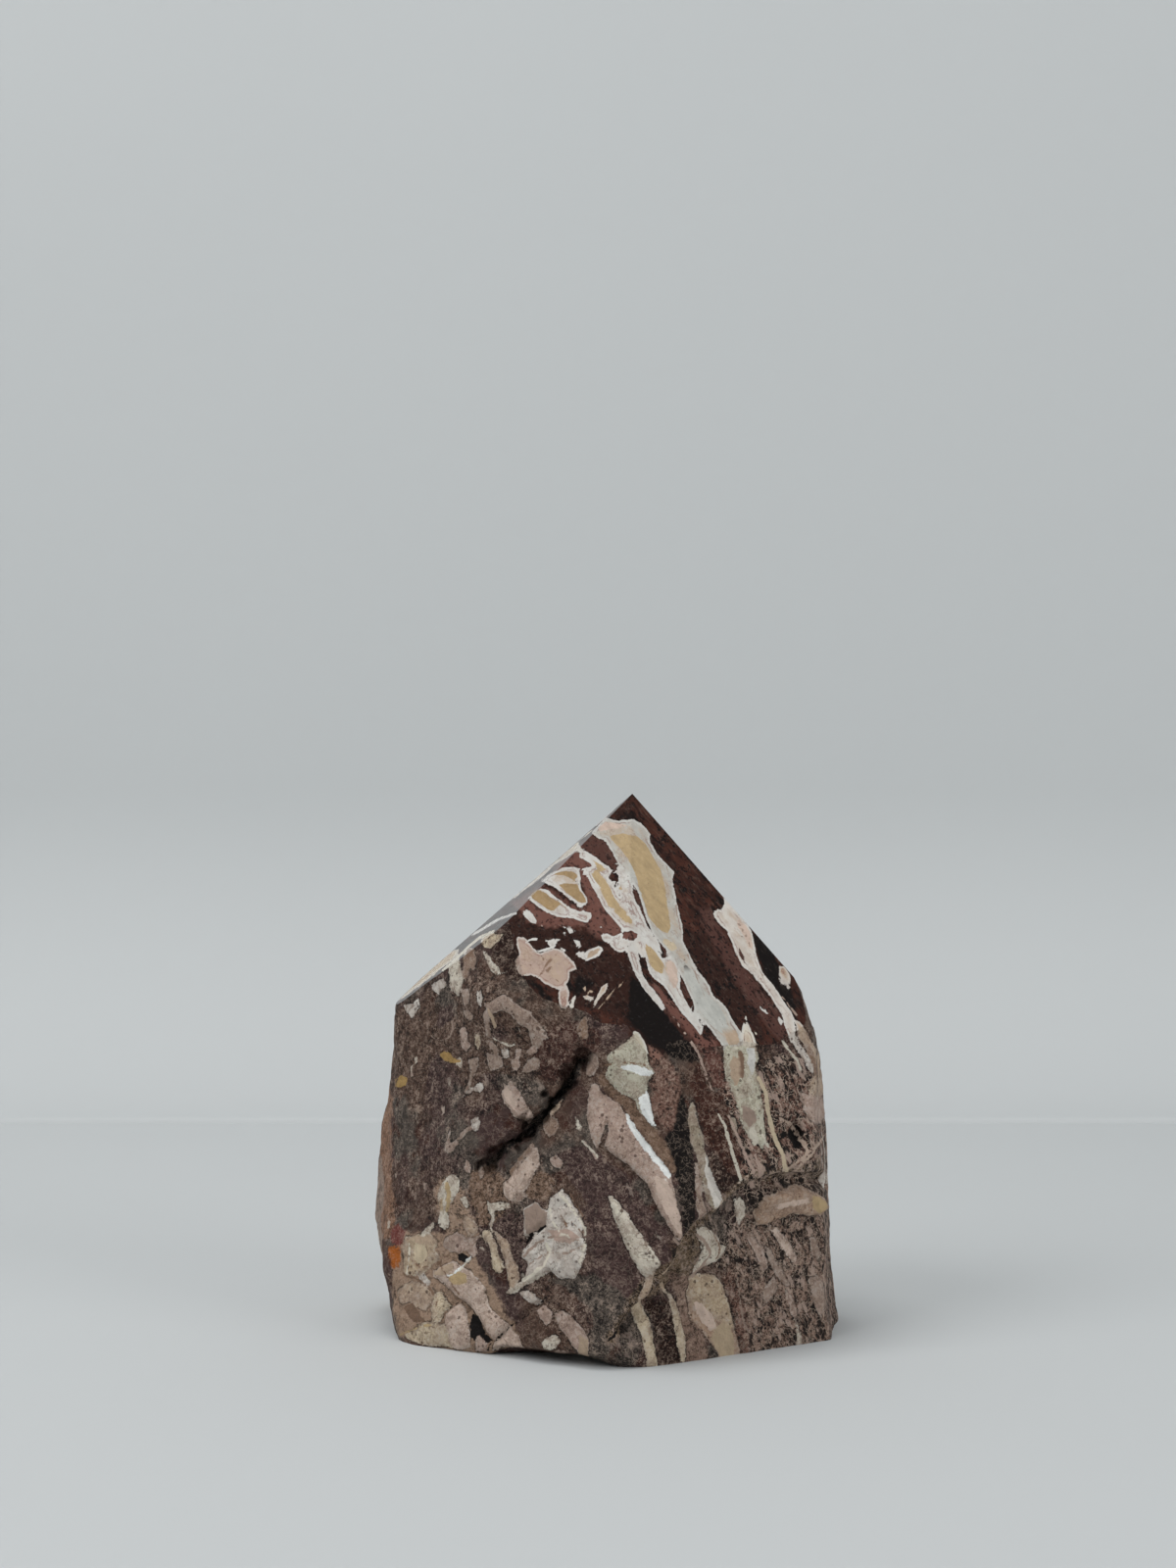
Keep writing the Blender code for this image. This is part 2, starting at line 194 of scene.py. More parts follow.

# The markings of the front, each with its colour and its outline in the photograph's pixels. Where
# two of one kind overlap, the one whose edge is farther away shows.

# Ground: patches of other rock between the clasts, and patches of painted shade and light, with how much
# grain each has
GROUND = {
    "between the fans": ("mauve", 0.7, [(520, 922), (552, 903), (575, 918), (600, 928), (596, 905),
        (588, 893), (604, 893), (618, 922), (636, 944), (652, 962), (640, 968), (622, 962), (612, 955),
        (600, 946), (575, 945), (555, 948), (540, 944), (532, 930)]),
    "left of the second clast": ("deep mauve", 0.8, [(590, 862), (602, 850), (616, 858), (628, 874),
        (640, 892), (636, 897), (622, 884), (604, 873)]),
    "mauve seam": ("deep mauve", 0.8, [(640, 893), (648, 900), (656, 925), (664, 948), (678, 966),
        (690, 985), (700, 1008), (707, 1022), (700, 1018), (694, 1000), (684, 977), (668, 958),
        (652, 928)]),
    "mauve streak on the right": ("deep mauve", 0.9, [(712, 924), (724, 930), (735, 945), (746, 966),
        (760, 990), (775, 1006), (790, 1026), (803, 1046), (812, 1062), (795, 1060), (780, 1044),
        (768, 1026), (752, 1004), (742, 985), (728, 964), (716, 944)]),
    "dark streak": ("dark maroon", 1.0, [(703, 950), (716, 950), (730, 970), (742, 990), (755, 1008),
        (768, 1030), (780, 1052), (776, 1064), (765, 1045), (757, 1034), (748, 1042), (738, 1022),
        (728, 1010), (716, 995), (708, 975)]),
    "dark lower left of the facet": ("dark maroon", 0.7, [(524, 935), (548, 942), (580, 948), (600, 952),
        (612, 965), (625, 974), (641, 990), (645, 1000), (641, 1042), (620, 1032), (590, 1027),
        (585, 1000), (575, 1004), (545, 1000), (520, 1000), (500, 975), (508, 955)]),
    "near black middle": ("glass", 0.3, [(584, 992), (600, 984), (620, 984), (641, 994), (642, 1042),
        (620, 1030), (598, 1026), (586, 1014)]),
    "glassy block": ("glass", 0.05, [(641, 994), (656, 1004), (668, 1020), (680, 1034), (690, 1046),
        (700, 1059), (712, 1074), (716, 1082), (706, 1084), (686, 1080), (676, 1073), (664, 1066),
        (654, 1053), (640, 1042)]),
    "black by the right edge": ("glass", 0.3, [(766, 948), (792, 974), (796, 984), (797, 997), (804, 1003),
        (808, 1010), (810, 1022), (813, 1036), (806, 1030), (798, 1018), (788, 1006), (779, 994),
        (773, 978), (770, 963)]),
    "mauve seam below": ("mauve", 1.0, [(656, 1000), (668, 1004), (680, 1014), (692, 1030), (718, 1056),
        (730, 1060), (740, 1090), (744, 1110), (730, 1112), (720, 1085), (712, 1066), (700, 1052),
        (688, 1040), (664, 1012)]),
    # Painted shadow in the cleft.
    "shadow in the cleft": ("shade", 0.3, [(590, 1078), (597, 1084), (590, 1098), (580, 1115), (572, 1127),
        (560, 1140), (552, 1153), (545, 1162), (532, 1164), (518, 1176), (505, 1188), (499, 1196),
        (496, 1189), (510, 1174), (530, 1157), (544, 1142), (560, 1126), (574, 1107), (583, 1092)]),
    "under the ledge": ("olive", 1.5, [(850, 1184), (800, 1188), (775, 1192), (757, 1200), (742, 1215),
        (728, 1235), (712, 1245), (697, 1262), (685, 1282), (672, 1292), (655, 1305), (640, 1328),
        (622, 1350), (610, 1370), (625, 1368), (640, 1348), (655, 1334), (670, 1324), (682, 1322),
        (690, 1304), (704, 1300), (712, 1282), (716, 1262), (752, 1222), (772, 1208), (800, 1203),
        (850, 1203)]),
    "net above the ledge": ("pink matrix", 2.0, [(782, 1102), (800, 1092), (822, 1100), (838, 1108),
        (850, 1130), (850, 1188), (820, 1194), (790, 1196), (762, 1200), (752, 1196), (740, 1140),
        (734, 1110), (745, 1100)]),
    "pale below the ledge": ("pale matrix", 1.6, [(757, 1238), (800, 1240), (848, 1238), (850, 1300),
        (848, 1368), (800, 1378), (760, 1382), (757, 1340), (745, 1300), (735, 1290), (745, 1262)]),
    # Painted shadow under the ledge's overhang.
    "painted shadow below the ledge": ("dark maroon", 0.9, [(662, 1332), (684, 1328), (690, 1350), (696, 1390),
        (674, 1394), (668, 1360)]),
    "brown seam under the fan": ("brown", 0.6, [(617, 1092), (624, 1104), (638, 1116), (652, 1124),
        (656, 1136), (668, 1150), (680, 1168), (690, 1186), (694, 1200), (684, 1196), (668, 1174),
        (650, 1152), (640, 1136), (612, 1108), (610, 1098)]),
    "dark right of the finger": ("glass", 0.4, [(700, 1125), (704, 1150), (709, 1180), (710, 1230),
        (712, 1244), (700, 1262), (696, 1240), (692, 1210), (686, 1190), (680, 1160), (686, 1120),
        (696, 1112)]),
    "pale purple right of the fan": ("pink matrix", 1.0, [(662, 1066), (672, 1074), (684, 1084),
        (692, 1100), (698, 1122), (694, 1148), (688, 1160), (676, 1150), (666, 1130), (664, 1092)]),
    "purple by the thin clast": ("maroon", 0.7, [(712, 1086), (724, 1112), (740, 1114), (750, 1134),
        (756, 1160), (764, 1184), (756, 1200), (738, 1216), (726, 1186), (716, 1150), (708, 1122),
        (704, 1100)]),
    "warm stain on the left": ("warm matrix", 0.9, [(398, 1030), (440, 1022), (470, 1040), (470, 1078),
        (455, 1092), (430, 1112), (396, 1120), (394, 1080)]),
    # The left side's reddish ochre, partly painted lighter where the light falls on that side.
    "side of the stone": ("side", 0.75, [(403, 1022), (404, 1060), (401, 1100), (399, 1160), (399, 1200),
        (403, 1236), (400, 1262), (384, 1264), (366, 1200), (366, 1100), (384, 1018)]),
    "dark beyond the facet": ("dark maroon", 0.2, [(500, 962), (512, 956), (526, 950), (540, 990),
        (528, 988), (514, 982), (502, 974)]),
    # Painted shade on the strip of the right side that faces away from the light.
    "painted shade at the right edge": ("dark maroon", 0.4, [(836, 1122), (846, 1136), (856, 1160), (856, 1200),
        (842, 1200), (832, 1180), (830, 1160), (836, 1148)]),
    "mauve by the ring": ("mauve", 0.7, [(560, 892), (572, 878), (588, 864), (604, 872), (608, 884),
        (600, 898), (585, 894), (570, 894)]),
    "mauve in the middle": ("mauve", 0.8, [(630, 944), (650, 944), (658, 958), (642, 964), (628, 956)]),
    "purple above the cleft": ("deep mauve", 0.8, [(540, 1066), (562, 1050), (590, 1040), (612, 1052),
        (612, 1072), (596, 1080), (578, 1100), (556, 1104), (548, 1090)]),
    "purple below the cleft": ("purple matrix", 0.65, [(566, 1176), (600, 1168), (640, 1200), (672, 1250),
        (690, 1290), (660, 1300), (640, 1330), (610, 1310), (604, 1270), (600, 1230), (582, 1204)]),
    "purple by the arch": ("purple matrix", 0.8, [(430, 1030), (460, 1026), (470, 1050), (462, 1090),
        (440, 1120), (424, 1090)]),
    "black below the purple": ("dark maroon", 0.8, [(722, 1168), (738, 1172), (750, 1186), (758, 1204),
        (744, 1220), (732, 1212), (724, 1192)]),
    "fibres above the ledge": ("olive", 1.9, [(850, 1150), (838, 1168), (818, 1186), (800, 1190),
        (778, 1188), (757, 1200), (742, 1216), (756, 1222), (772, 1212), (800, 1206), (850, 1204)]),
    "rubble at the left": ("rubble", 0.5, [(412, 1258), (440, 1256), (472, 1262), (490, 1290), (520, 1345),
        (540, 1388), (500, 1386), (460, 1378), (420, 1368), (404, 1362), (402, 1330), (400, 1300)]),
    "rubble above it": ("rubble", 0.9, [(447, 1205), (458, 1196), (468, 1203), (476, 1225), (483, 1245),
        (489, 1262), (472, 1284), (458, 1275), (452, 1255), (447, 1238), (443, 1220)]),
    "brown rubble": ("brown", 1.0, [(478, 1196), (500, 1190), (515, 1205), (521, 1226), (506, 1246),
        (490, 1250), (482, 1230)]),
    "brown by the crumpled clast": ("brown", 0.9, [(540, 1200), (552, 1192), (566, 1206), (560, 1222),
        (546, 1226), (536, 1218)]),
    "brown around the arch": ("warm matrix", 1.0, [(466, 1005), (490, 1000), (505, 1012), (495, 1036),
        (500, 1060), (540, 1066), (552, 1094), (520, 1096), (496, 1094), (474, 1110), (464, 1088),
        (466, 1050)]),
    "pink left of the tan patch": ("pale matrix", 0.9, [(688, 1300), (706, 1302), (712, 1330), (718, 1360),
        (724, 1388), (700, 1391), (694, 1350)]),
    "brown right of the tan patch": ("pink matrix", 1.3, [(736, 1296), (760, 1300), (768, 1340),
        (772, 1384), (752, 1386), (748, 1340)]),
    "purple below the lens": ("purple matrix", 1.6, [(752, 1256), (800, 1246), (846, 1244), (850, 1290),
        (826, 1290), (800, 1262), (770, 1276), (756, 1292)]),
    "red spot": ("red", 0.4, [(397, 1254), (406, 1249), (413, 1256), (414, 1265), (408, 1271),
        (399, 1269)]),
    "orange patch": ("orange", 0.2, [(396, 1272), (407, 1271), (412, 1282), (412, 1298), (405, 1300),
        (400, 1290)]),
    "brown corner": ("brown", 0.5, [(404, 1305), (430, 1300), (450, 1320), (440, 1345), (430, 1366),
        (408, 1364), (404, 1335)]),
    "olive middle": ("grey matrix", 1.0, [(560, 1305), (600, 1300), (640, 1310), (640, 1340), (622, 1366),
        (600, 1392), (606, 1340), (585, 1320)]),
    "lip of the ledge": ("olive", 1.25, [(760, 1198), (742, 1213), (728, 1233), (712, 1246), (697, 1263),
        (685, 1282), (670, 1293), (654, 1307), (624, 1352), (612, 1372), (628, 1370), (642, 1350),
        (657, 1336), (682, 1324), (692, 1308), (706, 1300), (713, 1282), (718, 1262), (754, 1224),
        (772, 1210)]),
}

# Stains round the rest of the stone: colour, grain, centre and half sizes in millimetres
STAINS = (
    # The left side's colour, reddish ochre partly painted lighter where the light falls on that side.
    ("side", 0.5, (-45.0, -9.0, 46.0), (6.0, 11.0, 24.0)),
    ("dusky pink", 0.7, (-43.0, 12.0, 20.0), (9.0, 9.0, 13.0)),
    ("orange", 0.4, (-44.0, -12.0, 16.5), (3.0, 4.0, 3.0)),
    ("mauve", 0.9, (20.0, 30.0, 60.0), (16.0, 12.0, 14.0)),
    ("dark maroon", 0.8, (-14.0, 30.0, 62.0), (14.0, 14.0, 12.0)),
    ("pink matrix", 1.6, (40.0, 14.0, 30.0), (9.0, 12.0, 14.0)),
    ("pale matrix", 1.5, (-8.0, 34.0, 20.0), (18.0, 8.0, 12.0)),
    ("deep mauve", 0.9, (-36.0, 26.0, 40.0), (10.0, 10.0, 16.0)),
)

# Clasts: broken pieces of the pale bands, and one painted shaded side
CLASTS = {
    "main band": ("band", [(603, 850), (610, 843), (617, 834), (630, 838), (646, 836), (656, 842),
        (665, 853), (661, 856), (672, 874), (689, 890), (686, 896), (690, 920), (697, 945), (695, 957),
        (704, 975), (711, 990), (722, 1003), (728, 1016), (742, 1028), (748, 1042), (757, 1056),
        (757, 1068), (738, 1070), (731, 1058), (720, 1045), (708, 1032), (708, 1022), (700, 1006),
        (690, 985), (682, 972), (672, 960), (664, 950), (658, 932), (650, 907), (640, 893), (632, 883),
        (618, 858), (610, 855)]),
    "second clast": ("white", [(598, 886), (606, 883), (613, 888), (619, 895), (626, 903), (630, 912),
        (638, 921), (645, 929), (651, 938), (656, 948), (662, 957), (656, 958), (645, 950), (636, 948),
        (626, 938), (616, 926), (609, 913), (603, 901), (598, 893)]),
    "blob above it": ("white", [(590, 870), (596, 864), (599, 870), (606, 873), (614, 879), (622, 884),
        (624, 890), (620, 893), (614, 889), (606, 883), (598, 879), (591, 875)]),
    "small ring": ("white", [(594, 886), (599, 884), (602, 888), (599, 893), (594, 892)]),
    "white shard": ("white", [(627, 888), (634, 887), (646, 901), (646, 911), (650, 922), (656, 935),
        (663, 948), (672, 962), (677, 976), (670, 968), (660, 957), (652, 945), (638, 921), (631, 911),
        (629, 901), (633, 896)]),
    "lower strip": ("white", [(651, 950), (660, 956), (668, 965), (676, 978), (684, 975), (691, 986),
        (695, 997), (693, 1008), (699, 1020), (706, 1031), (714, 1043), (718, 1050), (715, 1057),
        (707, 1045), (697, 1035), (688, 1023), (680, 1010), (670, 1000), (662, 993), (660, 980),
        (657, 968), (650, 958)]),
    "broken white": ("white", [(613, 945), (617, 951), (625, 955), (634, 953), (637, 955), (634, 960),
        (640, 968), (640, 974), (632, 973), (625, 968), (620, 962), (614, 958)]),
    "left strip": ("white", [(634, 951), (640, 956), (646, 964), (651, 975), (653, 985), (657, 998),
        (666, 1008), (675, 1020), (680, 1031), (676, 1032), (667, 1021), (657, 1009), (650, 998),
        (644, 985), (640, 972), (636, 962)]),
    "pale patch": ("chalk", [(645, 958), (652, 956), (658, 966), (660, 974), (655, 976), (650, 970)]),
    "upper fan": ("white", [(552, 899), (560, 892), (570, 887), (580, 885), (586, 884), (591, 887),
        (592, 895), (592, 905), (596, 911), (600, 918), (599, 923), (593, 925), (585, 920), (576, 913),
        (568, 907), (560, 902)]),
    "lower fan": ("white", [(538, 917), (546, 910), (552, 906), (558, 908), (566, 915), (574, 921),
        (582, 926), (592, 930), (603, 931), (604, 936), (601, 941), (594, 941), (584, 937), (572, 936),
        (560, 932), (550, 926)]),
    "white blob": ("white", [(533, 928), (540, 928), (545, 935), (549, 941), (545, 943), (540, 939),
        (534, 933)]),
    "white hook": ("white", [(574, 945), (579, 943), (586, 948), (590, 956), (593, 966), (596, 978),
        (591, 977), (588, 966), (584, 956), (579, 949)]),
    "small box": ("white", [(594, 975), (601, 969), (610, 965), (616, 969), (612, 974), (603, 979),
        (598, 981)]),
    "white speck": ("white", [(571, 952), (578, 951), (579, 955), (574, 957)]),
    "chip at the tip": ("ivory", [(641, 812), (646, 810), (648, 814), (643, 815)]),
    "pink cracked clast": ("rose", [(527, 957), (532, 955), (537, 958), (543, 966), (550, 973), (558, 971),
        (566, 967), (570, 968), (576, 972), (582, 978), (587, 984), (588, 989), (581, 992), (582, 998),
        (578, 1003), (573, 1010), (566, 1009), (556, 1003), (548, 997), (540, 995), (532, 996), (527, 988),
        (525, 980), (530, 974), (527, 965)]),
    "loop on its top": ("white", [(558, 959), (563, 957), (568, 960), (569, 966), (563, 968), (559, 964)]),
    "right band": ("chalk", [(739, 915), (748, 926), (758, 937), (766, 948), (770, 963), (773, 978),
        (779, 994), (789, 1006), (807, 1032), (811, 1042), (812, 1055), (818, 1067), (827, 1080),
        (834, 1095), (828, 1096), (820, 1082), (810, 1068), (804, 1056), (801, 1044), (797, 1033),
        (788, 1020), (779, 1008), (768, 994), (757, 985), (750, 972), (746, 960), (742, 950), (733, 942),
        (728, 932), (734, 925), (738, 930)]),
    "tan corner": ("buff", [(811, 1041), (817, 1044), (826, 1056), (829, 1068), (820, 1066), (814, 1058)]),
    "edge below it": ("brown", [(821, 1067), (830, 1066), (836, 1082), (842, 1104), (832, 1104),
        (826, 1082)]),
    "tan at the right edge": ("buff", [(795, 983), (801, 987), (807, 995), (808, 1001), (800, 999),
        (795, 994)]),
    "pale at the right edge": ("dusky pink", [(790, 999), (799, 1001), (807, 1007), (804, 1010),
        (797, 1005)]),
    "first sliver": ("white", [(771, 1022), (776, 1025), (784, 1034), (779, 1034), (773, 1027)]),
    "second sliver": ("white", [(794, 1037), (798, 1041), (797, 1046), (795, 1043)]),
    "finger between": ("ivory", [(760, 1036), (764, 1045), (769, 1056), (772, 1066), (766, 1071),
        (759, 1070), (757, 1060), (758, 1048)]),
    "cream band": ("green ivory", [(738, 1064), (758, 1066), (772, 1068), (774, 1080), (771, 1092),
        (774, 1104), (777, 1120), (779, 1140), (782, 1160), (778, 1172), (768, 1165), (758, 1150),
        (752, 1130), (747, 1112), (740, 1100), (738, 1085)]),
    "green fan": ("green ivory", [(647, 1052), (652, 1054), (657, 1062), (661, 1072), (661, 1083),
        (668, 1095), (660, 1104), (660, 1115), (664, 1130), (667, 1145), (673, 1153), (668, 1151),
        (660, 1143), (652, 1133), (650, 1124), (640, 1119), (630, 1113), (622, 1105), (617, 1097),
        (622, 1087), (619, 1080), (625, 1073), (635, 1065), (642, 1060)]),
    "small pink": ("dusky pink", [(601, 1078), (605, 1075), (610, 1078), (611, 1087), (607, 1096),
        (601, 1099), (597, 1094)]),
    "big pink finger": ("rose", [(603, 1105), (610, 1106), (614, 1115), (624, 1121), (632, 1126),
        (640, 1138), (645, 1148), (655, 1160), (666, 1175), (676, 1188), (684, 1198), (690, 1222),
        (693, 1235), (697, 1262), (694, 1268), (688, 1262), (682, 1250), (674, 1240), (666, 1225),
        (660, 1208), (640, 1188), (626, 1178), (616, 1170), (621, 1155), (620, 1143), (616, 1156),
        (609, 1174), (604, 1160), (600, 1148), (599, 1135), (601, 1115)]),
    "cream finger": ("ivory", [(620, 1220), (624, 1219), (632, 1228), (640, 1238), (648, 1252),
        (668, 1278), (675, 1290), (672, 1294), (662, 1301), (657, 1303), (652, 1296), (645, 1285),
        (638, 1270), (626, 1240)]),
    "its fold under the ledge": ("buff", [(660, 1303), (668, 1297), (666, 1310), (662, 1325), (655, 1331),
        (649, 1331), (653, 1320), (657, 1310)]),
    "strip below it": ("cream", [(648, 1332), (659, 1332), (662, 1345), (670, 1385), (671, 1396),
        (660, 1397), (658, 1380), (653, 1360), (650, 1345)]),
    "second strip": ("cream", [(682, 1318), (687, 1322), (692, 1338), (696, 1355), (700, 1370),
        (699, 1390), (694, 1391), (692, 1375), (688, 1355), (685, 1338)]),
    "stroke one": ("rose", [(761, 1259), (768, 1257), (776, 1272), (785, 1292), (780, 1296), (771, 1281)]),
    "stroke two": ("pink", [(784, 1250), (793, 1253), (806, 1268), (815, 1286), (808, 1288), (797, 1273)]),
    "stroke three": ("dusky pink", [(778, 1268), (786, 1276), (799, 1296), (806, 1312), (800, 1312),
        (788, 1294)]),
    "stroke four": ("rose", [(802, 1318), (808, 1322), (814, 1342), (812, 1350), (806, 1338)]),
    "stroke five": ("dusky pink", [(824, 1262), (832, 1262), (838, 1280), (834, 1286), (828, 1276)]),
    "pale strip low left": ("ivory", [(427, 1263), (433, 1254), (441, 1247), (445, 1250), (437, 1260),
        (431, 1267)]),
    "stained base": ("cream", [(410, 1364), (420, 1357), (432, 1352), (447, 1350), (455, 1358),
        (459, 1374), (440, 1374), (420, 1369)]),
    "left of the box": ("tan", [(447, 1222), (450, 1210), (455, 1207), (457, 1222), (453, 1234),
        (449, 1238)]),
    "rubble piece": ("rose", [(480, 1262), (486, 1268), (488, 1280), (482, 1284), (476, 1276)]),
    "rubble piece two": ("dusky pink", [(455, 1262), (466, 1260), (474, 1266), (470, 1276), (460, 1278),
        (452, 1270)]),
    "tangle piece": ("rose", [(560, 1182), (568, 1178), (576, 1186), (572, 1192), (564, 1190)]),
    "tangle piece two": ("dusky pink", [(520, 1218), (530, 1214), (538, 1220), (532, 1226), (522, 1226)]),
    "thin clast, upper": ("dim ivory", [(706, 1123), (710, 1130), (712, 1145), (717, 1158), (719, 1170),
        (718, 1176), (709, 1177), (704, 1160), (702, 1145), (703, 1132)]),
    "pale by the band": ("dim ivory", [(743, 1138), (750, 1140), (753, 1158), (748, 1157)]),
    "edge, tan": ("buff", [(822, 1062), (830, 1064), (840, 1084), (845, 1106), (843, 1118), (826, 1118),
        (824, 1110), (831, 1096), (828, 1080)]),
    "left facet, upper": ("ivory", [(590, 858), (592, 866), (580, 874), (566, 882), (556, 892), (528, 914),
        (516, 922), (520, 914), (568, 872), (580, 862)]),
    "left facet, lower": ("cream", [(470, 968), (462, 980), (448, 990), (436, 1000), (420, 1012),
        (406, 1022), (412, 1010), (444, 982), (460, 970)]),
    "thin white clast": ("dim ivory", [(706, 1124), (709, 1130), (711, 1145), (716, 1158), (718, 1170),
        (722, 1185), (724, 1192), (722, 1200), (732, 1220), (737, 1228), (733, 1234), (726, 1233),
        (722, 1225), (718, 1212), (714, 1200), (712, 1188), (709, 1175), (704, 1160), (702, 1145),
        (703, 1132)]),
    "strip beside it": ("dusky pink", [(709, 1182), (713, 1194), (715, 1206), (718, 1225), (721, 1238),
        (716, 1250), (712, 1240), (711, 1225), (709, 1205)]),
    "folds under the ledge": ("ivory", [(716, 1258), (724, 1254), (732, 1262), (735, 1270), (741, 1272),
        (738, 1280), (728, 1288), (718, 1292), (705, 1302), (712, 1285), (716, 1272)]),
    "tan patch": ("warm cream", [(703, 1302), (716, 1299), (729, 1301), (737, 1311), (742, 1325),
        (747, 1344), (750, 1356), (736, 1356), (720, 1346), (706, 1336), (700, 1322)]),
    "tan patch, lower": ("warm tan", [(701, 1326), (712, 1328), (724, 1336), (738, 1344), (746, 1350),
        (752, 1368), (756, 1384), (736, 1387), (728, 1374), (716, 1358), (704, 1346)]),
    "lens under the ledge": ("warm tan", [(768, 1240), (772, 1228), (784, 1220), (798, 1215), (815, 1211),
        (828, 1214), (840, 1222), (846, 1232), (838, 1240), (826, 1241), (808, 1238), (795, 1244),
        (780, 1250), (770, 1250)]),
    "small pale": ("ivory", [(755, 1228), (762, 1226), (760, 1240), (754, 1250), (751, 1242)]),
    "pale chip low": ("dusky pink", [(783, 1310), (790, 1303), (794, 1315), (788, 1325), (780, 1331),
        (778, 1322)]),
    "pink low right": ("dusky pink", [(825, 1305), (835, 1300), (841, 1312), (843, 1330), (838, 1346),
        (832, 1335), (828, 1320)]),
    "white line low right": ("ivory", [(809, 1338), (814, 1348), (818, 1366), (819, 1382), (813, 1383),
        (813, 1362)]),
    "pink by the right edge": ("rose", [(816, 1114), (830, 1117), (841, 1120), (844, 1134), (836, 1148),
        (828, 1144), (820, 1134)]),
    "cream wedge": ("ivory", [(462, 975), (468, 974), (470, 985), (472, 995), (472, 1003), (468, 1017),
        (459, 1008), (458, 995), (459, 985)]),
    "tan band beside it": ("brown", [(476, 966), (483, 968), (486, 978), (484, 990), (479, 988),
        (475, 1003), (472, 995), (472, 980)]),
    "white at the left corner": ("chalk", [(411, 1026), (419, 1025), (427, 1018), (428, 1027), (424, 1034),
        (420, 1039), (415, 1032)]),
    "white mess": ("chalk", [(439, 1006), (446, 1001), (452, 999), (457, 1006), (450, 1009), (448, 1016),
        (441, 1011)]),
    "cream by the facet": ("cream", [(490, 957), (500, 951), (514, 953), (508, 962), (500, 968),
        (492, 965)]),
    "white sliver": ("ivory", [(491, 968), (497, 971), (503, 982), (509, 988), (515, 993), (507, 995),
        (501, 991), (496, 980)]),
    "chip one": ("dusky pink", [(470, 1010), (476, 1008), (479, 1015), (478, 1023), (474, 1027),
        (471, 1018)]),
    "chip two": ("chalk", [(486, 1013), (491, 1011), (493, 1018), (491, 1027), (487, 1023)]),
    "chip three": ("dusky pink", [(471, 1029), (478, 1031), (483, 1038), (479, 1042), (474, 1036)]),
    "arch": ("dusky pink", [(492, 1023), (500, 1022), (507, 1017), (515, 1015), (522, 1020), (530, 1027),
        (541, 1032), (548, 1042), (556, 1051), (560, 1060), (554, 1062), (549, 1071), (543, 1067),
        (540, 1056), (538, 1050), (530, 1045), (521, 1036), (512, 1031), (505, 1033), (500, 1039),
        (502, 1058), (497, 1058), (495, 1046), (493, 1036), (496, 1030)]),
    "chip four": ("rose", [(469, 1050), (475, 1048), (477, 1060), (480, 1066), (475, 1076), (471, 1066)]),
    "chip five": ("cream", [(484, 1055), (489, 1054), (491, 1062), (489, 1071), (485, 1066)]),
    "chip six": ("dusky pink", [(497, 1062), (502, 1062), (509, 1072), (506, 1079), (500, 1070)]),
    "wisp": ("dusky pink", [(478, 1081), (489, 1079), (488, 1088), (483, 1098), (480, 1108), (472, 1119),
        (477, 1106), (479, 1095)]),
    "chip seven": ("ivory", [(463, 1082), (470, 1079), (474, 1084), (470, 1089), (466, 1088)]),
    "chip eight": ("dusky pink", [(495, 1073), (503, 1076), (513, 1079), (513, 1087), (504, 1093),
        (498, 1090), (497, 1082)]),
    "chip nine": ("chalk", [(512, 1070), (519, 1070), (519, 1080), (514, 1079)]),
    "chip ten": ("rose", [(526, 1070), (533, 1069), (530, 1082), (530, 1093), (522, 1093), (521, 1086),
        (526, 1078)]),
    "chip eleven": ("rose", [(535, 1073), (548, 1065), (549, 1074), (540, 1077)]),
    "chip twelve": ("dusky pink", [(538, 1082), (545, 1078), (552, 1081), (549, 1093), (541, 1094),
        (531, 1094)]),
    "white piece": ("chalk", [(480, 1110), (487, 1105), (491, 1104), (495, 1110), (490, 1114), (484, 1113),
        (476, 1118), (472, 1120)]),
    "diamond": ("rose", [(521, 1102), (526, 1108), (538, 1126), (542, 1131), (546, 1138), (541, 1147),
        (534, 1142), (524, 1137), (519, 1130), (513, 1122), (511, 1115), (517, 1108)]),
    "bent wisp": ("dusky pink", [(461, 1149), (459, 1160), (460, 1167), (468, 1160), (476, 1151),
        (483, 1147), (484, 1153), (478, 1155), (470, 1163), (463, 1173), (456, 1178), (453, 1173),
        (456, 1162)]),
    "ring on it": ("chalk", [(481, 1142), (487, 1140), (490, 1148), (486, 1155), (481, 1152)]),
    "leaf one": ("rose", [(475, 1181), (479, 1186), (482, 1192), (478, 1200), (474, 1193)]),
    "leaf two": ("dusky pink", [(487, 1185), (491, 1190), (494, 1198), (490, 1203), (487, 1195)]),
    "pink below the cleft": ("pink", [(548, 1170), (550, 1175), (551, 1190), (545, 1200), (540, 1210),
        (531, 1220), (521, 1226), (516, 1220), (513, 1210), (520, 1202), (527, 1193), (533, 1185)]),
    # Painted shade on the side of the pink clast that faces the cleft.
    "its shaded side": ("brown", [(519, 1196), (526, 1186), (535, 1176), (541, 1167), (547, 1167),
        (540, 1177), (530, 1188), (523, 1200)]),
    "ochre by the cleft": ("brown", [(553, 1146), (560, 1139), (568, 1141), (571, 1150), (566, 1158),
        (560, 1160), (554, 1152)]),
    "tan by the cleft": ("buff", [(560, 1136), (568, 1127), (574, 1121), (570, 1130), (563, 1138)]),
    "thin white": ("ivory", [(586, 1136), (590, 1144), (593, 1147), (592, 1154), (588, 1152)]),
    "pale under the facet": ("rose", [(570, 1012), (576, 1004), (581, 1012), (580, 1025), (577, 1031),
        (572, 1029), (570, 1020)]),
    "white beside it": ("ivory", [(584, 1018), (588, 1012), (586, 1025), (583, 1034), (581, 1026)]),
